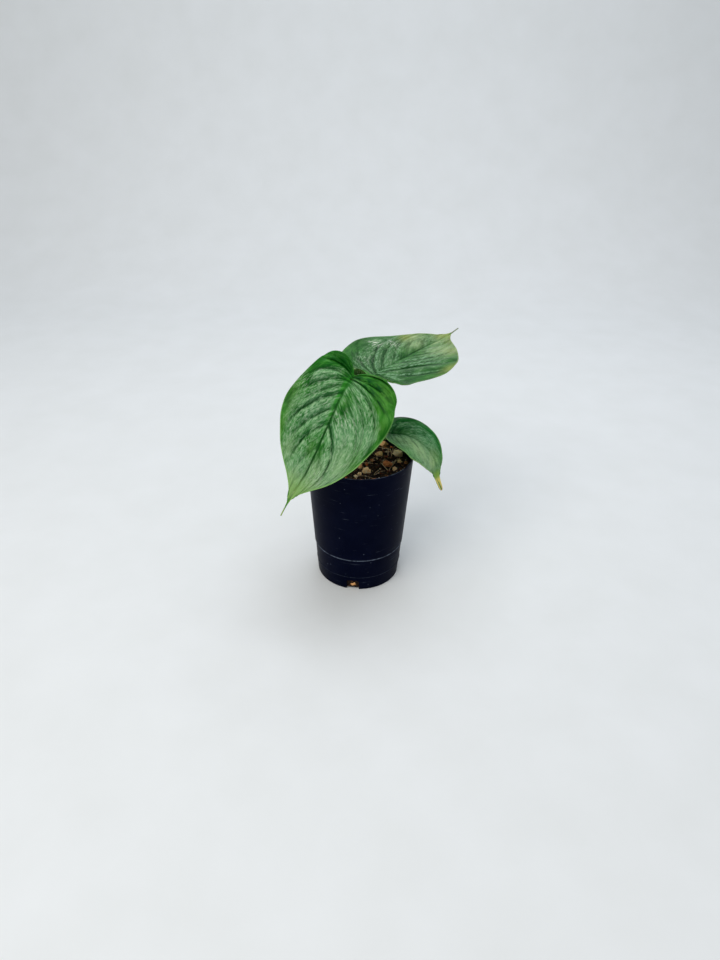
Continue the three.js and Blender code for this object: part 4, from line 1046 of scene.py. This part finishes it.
def makeFibres():
    form = fibreForm
    draw = randomNumbers(form["seed"])
    reach, steps = mixReach(form["clearOfWall"]), form["steps"]
    lines = [[(x, y, mixHeight(x, y) + 1.6 + 1.2 * (k == 1), radius / form["radius"])
              for k, (x, y) in enumerate(places)] for places, radius in form["seen"]]
    for k in range(form["strewn"]):
        x, y = spotAt(reach * math.sqrt(next(draw)) * 0.9, 2 * math.pi * next(draw))
        heading, bend = 2 * math.pi * next(draw), 1.6 * (next(draw) - 0.5)
        length = form["length"][0] + (form["length"][1] - form["length"][0]) * next(draw)
        thick, hump = 0.6 + 0.8 * next(draw), 0.5 + 2.2 * next(draw)
        line = []
        for s in range(steps + 1):
            if math.hypot(x, y) > reach:
                break
            line.append((x, y, mixHeight(x, y) + 0.2 + hump * math.sin(math.pi * s / steps), thick))
            heading += bend / steps * 2 + 0.35 * math.sin(3.1 * s + k)
            x, y = x + length / steps * math.cos(heading), y + length / steps * math.sin(heading)
        if len(line) > 3:
            lines.append(line)
    fibres = newCurve("NURBS", lines)
    for spline in fibres.data.splines:
        spline.use_endpoint_u = True
        spline.order_u = 3
        spline.resolution_u = 3
    fibres.data.bevel_depth = form["radius"] * mm
    fibres.data.bevel_resolution = 1
    skin = rootMaterial("coirFibre", [(0.3, "6b4a2c"), (0.5, "bc9d72"), (0.64, "f4e8d2")])
    finishPiece(meshOf(fibres), "coirFibres", skin, 60, "potting_mix")


makeBed()
makeChips()
makeCrumbs()
makeFibres()


# Nursery pot

def potMaterial():
    # Moulded black polypropylene: satin, faintly blue, with moulding haze, dust and rub marks on its rings;
    # the pale band on the shoulder is partly a painted highlight
    material, tree, shader = newMaterial("blackPolypropylene", {"Specular IOR Level": 0.02})
    place = addNode(tree, "TexCoord").outputs["Object"]
    scratchPlace = addNode(tree, "Mapping", {"Vector": place, "Rotation": (0.3, 0.5, 0.2),
                                             "Scale": (1 / (30 * mm), 1 / (30 * mm), 1 / (1.2 * mm))})
    haze, dustHere, scratches, wear, grain = (
        addNode(tree, "TexNoise", {"Vector": vector, "Scale": scale, "Detail": detail, "Roughness": rough})
        for vector, scale, detail, rough in (
            (place, 1 / (22 * mm), 4, 0.6), (place, 1 / (16 * mm), 2, 0.5), (scratchPlace, 1, 3, 0.7),
            (place, 1 / (6 * mm), 5, 0.65), (place, 1 / (1.1 * mm), 3, 0.5)))
    specks = addNode(tree, "TexVoronoi", {"Vector": place, "Scale": 1 / (7 * mm), "Randomness": 1})
    speck = addNode(tree, "MapRange", (specks, 0.11, 0.05), interpolation_type="SMOOTHSTEP")
    dust = addNode(tree, "MapRange", (dustHere, 0.52, 0.62, 0, 0.28))
    speck = addNode(tree, "Math", (speck, dust), operation="MULTIPLY")
    scratch = addNode(tree, "MapRange", (scratches, 0.66, 0.74, 0, 0.25))

    # rub marks on the line below the shoulder and on the rim; on the shoulder's edge a stronger pale band
    # that is partly rub wear and partly painted highlight
    height, rubAndHighlight = addNode(tree, "SeparateXYZ", (place,)).outputs["Z"], 0
    for at, spread, amount in ((potForm["shoulderHeight"] + 0.6, 0.9, 0.85),
                               (potForm["lineHeight"], 0.4, 0.2), (potForm["height"], 0.5, 0.3)):
        off = addNode(tree, "Math", (height, at * mm), operation="SUBTRACT")
        off = addNode(tree, "Math", (off,), operation="ABSOLUTE")
        near = addNode(tree, "MapRange", (off, spread * mm, 0.1 * mm, 0, amount),
                       interpolation_type="SMOOTHSTEP")
        rubAndHighlight = addNode(tree, "Math", (rubAndHighlight, near), operation="MAXIMUM")
    patchiness = addNode(tree, "MapRange", (wear, 0.35, 0.62))
    marksAndHighlight = addNode(tree, "Math", (rubAndHighlight, patchiness), operation="MULTIPLY")
    for mark in (speck, scratch):
        marksAndHighlight = addNode(tree, "Math", (marksAndHighlight, mark), operation="MAXIMUM")
    body = addNode(tree, "ValToRGB", (haze,), [(0.35, "01051a"), (0.7, "050a20")])
    # the marks' pale blue-grey, on the shoulder also a painted highlight
    colour = addNode(tree, "Mix", {0: marksAndHighlight, 6: body, 7: "7a8698"}, data_type="RGBA")
    gloss = addNode(tree, "MapRange", (haze, 0.3, 0.7, 0.3, 0.42))
    dull = addNode(tree, "Math", (marksAndHighlight, 0.5, gloss), operation="MULTIPLY_ADD")
    bump = addNode(tree, "Bump", {"Height": grain, "Strength": 0.12, "Distance": 0.15 * mm})
    setSockets(shader, {"Base Color": colour, "Roughness": dull, "Normal": bump})
    return material


def makePot():
    form = potForm
    foot, height, wall, floor, rounding = (form[key] for key in ("footRadius", "height", "wall", "floor",
                                                                 "footRounding"))
    shoulder, lip, line = form["shoulderHeight"], form["shoulderStep"], form["lineHeight"]
    rimOuter, rimInner = form["rimRadius"], potRadius(height) - wall
    half = (rimOuter - rimInner) / 2
    # out over the foot, up past the faint line and the stacking shoulder, round the rim and down inside;
    # places set close to an edge keep it crisp
    profile = [
        (foot - 4, 0), *arc((foot - rounding, rounding), rounding, -90, 0, 6),
        (potRadius(line - 0.9), line - 0.9), (potRadius(line - 0.5), line - 0.5),
        *((potRadius(line) + form["lineStep"] * math.sin(turn), line - 0.5 + turn / math.pi)
          for turn in (0.8, 1.57, 2.34)),
        (potRadius(line + 0.5), line + 0.5), (potRadius(line + 0.9), line + 0.9),
        (potRadius(shoulder) - 0.01, shoulder - 1), (potRadius(shoulder), shoulder - 0.4),
        *arc((potRadius(shoulder), shoulder - 0.3 + lip), lip, -80, 0, 6),
        (potRadius(shoulder) + lip + 0.02, shoulder + 1.2),
        (rimOuter - 0.02, height - 3), (rimOuter, height - half),
        *arc((rimOuter - half, height - half), half, 0, 180, 12)[1:], (rimInner - 0.1, height - 4),
        (potRadius(shoulder + 1) - wall, shoulder + 1), (potRadius(shoulder - 1) - wall, shoulder - 1),
        (potRadius(floor) - wall - 1, floor + 1), (potRadius(floor) - wall - 2, floor), (12, floor),
        (0, floor)]
    pot = lathe(profile, form["sides"])
    for k in range(notchForm["count"]):
        cutNotch(pot, notchForm["firstAngle"] + 90 + 360 / notchForm["count"] * k)
    closeUp(pot)
    finishPiece(pot, "nurseryPot", potMaterial(), 35, "pot", "pot")


def cutNotch(pot, turn):
    form = notchForm
    clearSelection()
    bpy.ops.mesh.primitive_cube_add(size=1, location=(0, 0, 0))
    cutter = bpy.context.object
    bpy.ops.object.mode_set(mode="EDIT")
    deep = form["depth"] + 5
    bpy.ops.transform.resize(value=(form["width"] * mm, deep * mm, (form["height"] + 2) * mm))
    bpy.ops.transform.translate(value=(0, (form["depth"] - potForm["footRadius"] - deep / 2) * mm,
                                       (form["height"] - 2) / 2 * mm))
    bpy.ops.object.mode_set(mode="OBJECT")

    def upperInward(a, b):  # the two upper edges that run inwards
        return min(a.z, b.z) > 0.5 * form["height"] * mm and abs(a.x - b.x) < 1e-6

    selectEdges(cutter.data, upperInward)
    pick(cutter)
    bpy.ops.object.mode_set(mode="EDIT")
    bpy.ops.mesh.select_mode(type="EDGE")
    bpy.ops.mesh.bevel(offset=form["topRounding"] * mm, segments=8, affect="EDGES")
    bpy.ops.mesh.select_mode(type="VERT")
    bpy.ops.object.mode_set(mode="OBJECT")
    cutter.data.transform(Matrix.Rotation(math.radians(turn), 4, "Z"))
    cut = pot.modifiers.new("notch", "BOOLEAN")
    cut.operation = "DIFFERENCE"
    cut.solver = "EXACT"
    cut.object = cutter
    applyModifiers(pot)
    bpy.data.objects.remove(cutter)


makePot()


# Camera, floor and light

cameraPlace = {"location": (0.4, -581.5, 454.4), "pitch": 31.376, "roll": 1.0017, "focalPixels": 721,
               "imageHeight": 960, "sensor": 36, "clip": (0.01, 20)}
studio = {
    "floorFront": -1.6, "floorBack": 0.75, "sweepRadius": 0.5, "sweepSteps": 24, "wallTop": 2.2,
    "halfWidth": 2.4, "world": "eef2f5", "worldStrength": 0.45,
    # name: place, point looked at, width, height, watts, colour
    "lights": {
        "window": ((-0.55, -0.75, 1.25), (0, 0, 0.12), 1.0, 0.8, 10, "fffaf2"),
        "ceiling": ((0.25, 0.55, 1.35), (0, 0, 0.12), 1.1, 0.7, 8, "f4f8ff"),
    },
}


def makeCamera():
    form = cameraPlace
    lens = bpy.data.cameras.new("photoCamera")
    lens.sensor_width = form["sensor"]
    lens.lens = form["focalPixels"] / form["imageHeight"] * form["sensor"]
    lens.clip_start, lens.clip_end = form["clip"]
    camera = bpy.data.objects.new("photoCamera", lens)
    bpy.context.scene.collection.objects.link(camera)
    tilt = Matrix.Rotation(math.radians(90 - form["pitch"]), 4, "X")
    roll = Matrix.Rotation(math.radians(form["roll"]), 4, "Z")
    camera.matrix_world = Matrix.Translation(Vector(form["location"]) * mm) @ tilt @ roll
    bpy.context.scene.camera = camera


def makeFloor():  # a pale sheet that runs flat under the pot and sweeps up behind it
    clearSelection()
    form = studio
    depth = form["floorBack"] - form["floorFront"]
    bpy.ops.mesh.primitive_plane_add(size=1, location=(0, 0, 0))
    floor = bpy.context.object
    bpy.ops.object.mode_set(mode="EDIT")
    bpy.ops.transform.resize(value=(2 * form["halfWidth"], depth, 1))
    bpy.ops.transform.translate(value=(0, form["floorFront"] + depth / 2, 0))
    bpy.ops.object.mode_set(mode="OBJECT")

    def atBack(a, b):
        return min(a.y, b.y) > 0

    selectEdges(floor.data, atBack)
    pick(floor)
    bpy.ops.object.mode_set(mode="EDIT")
    bpy.ops.mesh.select_mode(type="EDGE")
    sweepUp = arc((0, 0), form["sweepRadius"], -90, 0, form["sweepSteps"])
    for (y, z), (nextY, nextZ) in zip(sweepUp, sweepUp[1:]):
        bpy.ops.mesh.extrude_region_move(TRANSFORM_OT_translate={"value": (0, nextY - y, nextZ - z)})
    wall = form["wallTop"] - form["sweepRadius"]
    bpy.ops.mesh.extrude_region_move(TRANSFORM_OT_translate={"value": (0, 0, wall)})
    bpy.ops.mesh.select_mode(type="VERT")
    bpy.ops.object.mode_set(mode="OBJECT")
    floor.name = "studioFloor"
    # Matt paper backdrop, almost white, with a faint cloudiness
    floor.data.materials.append(grainedMaterial("mattPaper", {"Roughness": 0.8, "Specular IOR Level": 0.2},
                                                [(0.2, "e6e9ea"), (0.8, "ebeef0")], 60, 3))
    smoothByAngle(floor, 30)


def makeLights():
    world = bpy.data.worlds.new("studioWorld")
    world.use_nodes = True
    background = world.node_tree.nodes["Background"]
    background.inputs["Color"].default_value = hexColour(studio["world"])
    background.inputs["Strength"].default_value = studio["worldStrength"]
    bpy.context.scene.world = world
    for name, (place, target, width, height, watts, colour) in studio["lights"].items():
        lamp = bpy.data.lights.new(name, "AREA")
        lamp.shape = "RECTANGLE"
        lamp.size, lamp.size_y = width, height
        lamp.energy = watts
        lamp.color = hexColour(colour)[:3]
        light = bpy.data.objects.new(name, lamp)
        bpy.context.scene.collection.objects.link(light)
        light.location = place
        light.rotation_mode = "QUATERNION"
        light.rotation_quaternion = (Vector(target) - Vector(place)).to_track_quat("-Z", "Y")
    bpy.context.scene.view_settings.view_transform = "Standard"


makeCamera()
makeFloor()
makeLights()
print("scene: camera, floor and lights")

clearSelection()
bpy.context.view_layer.update()
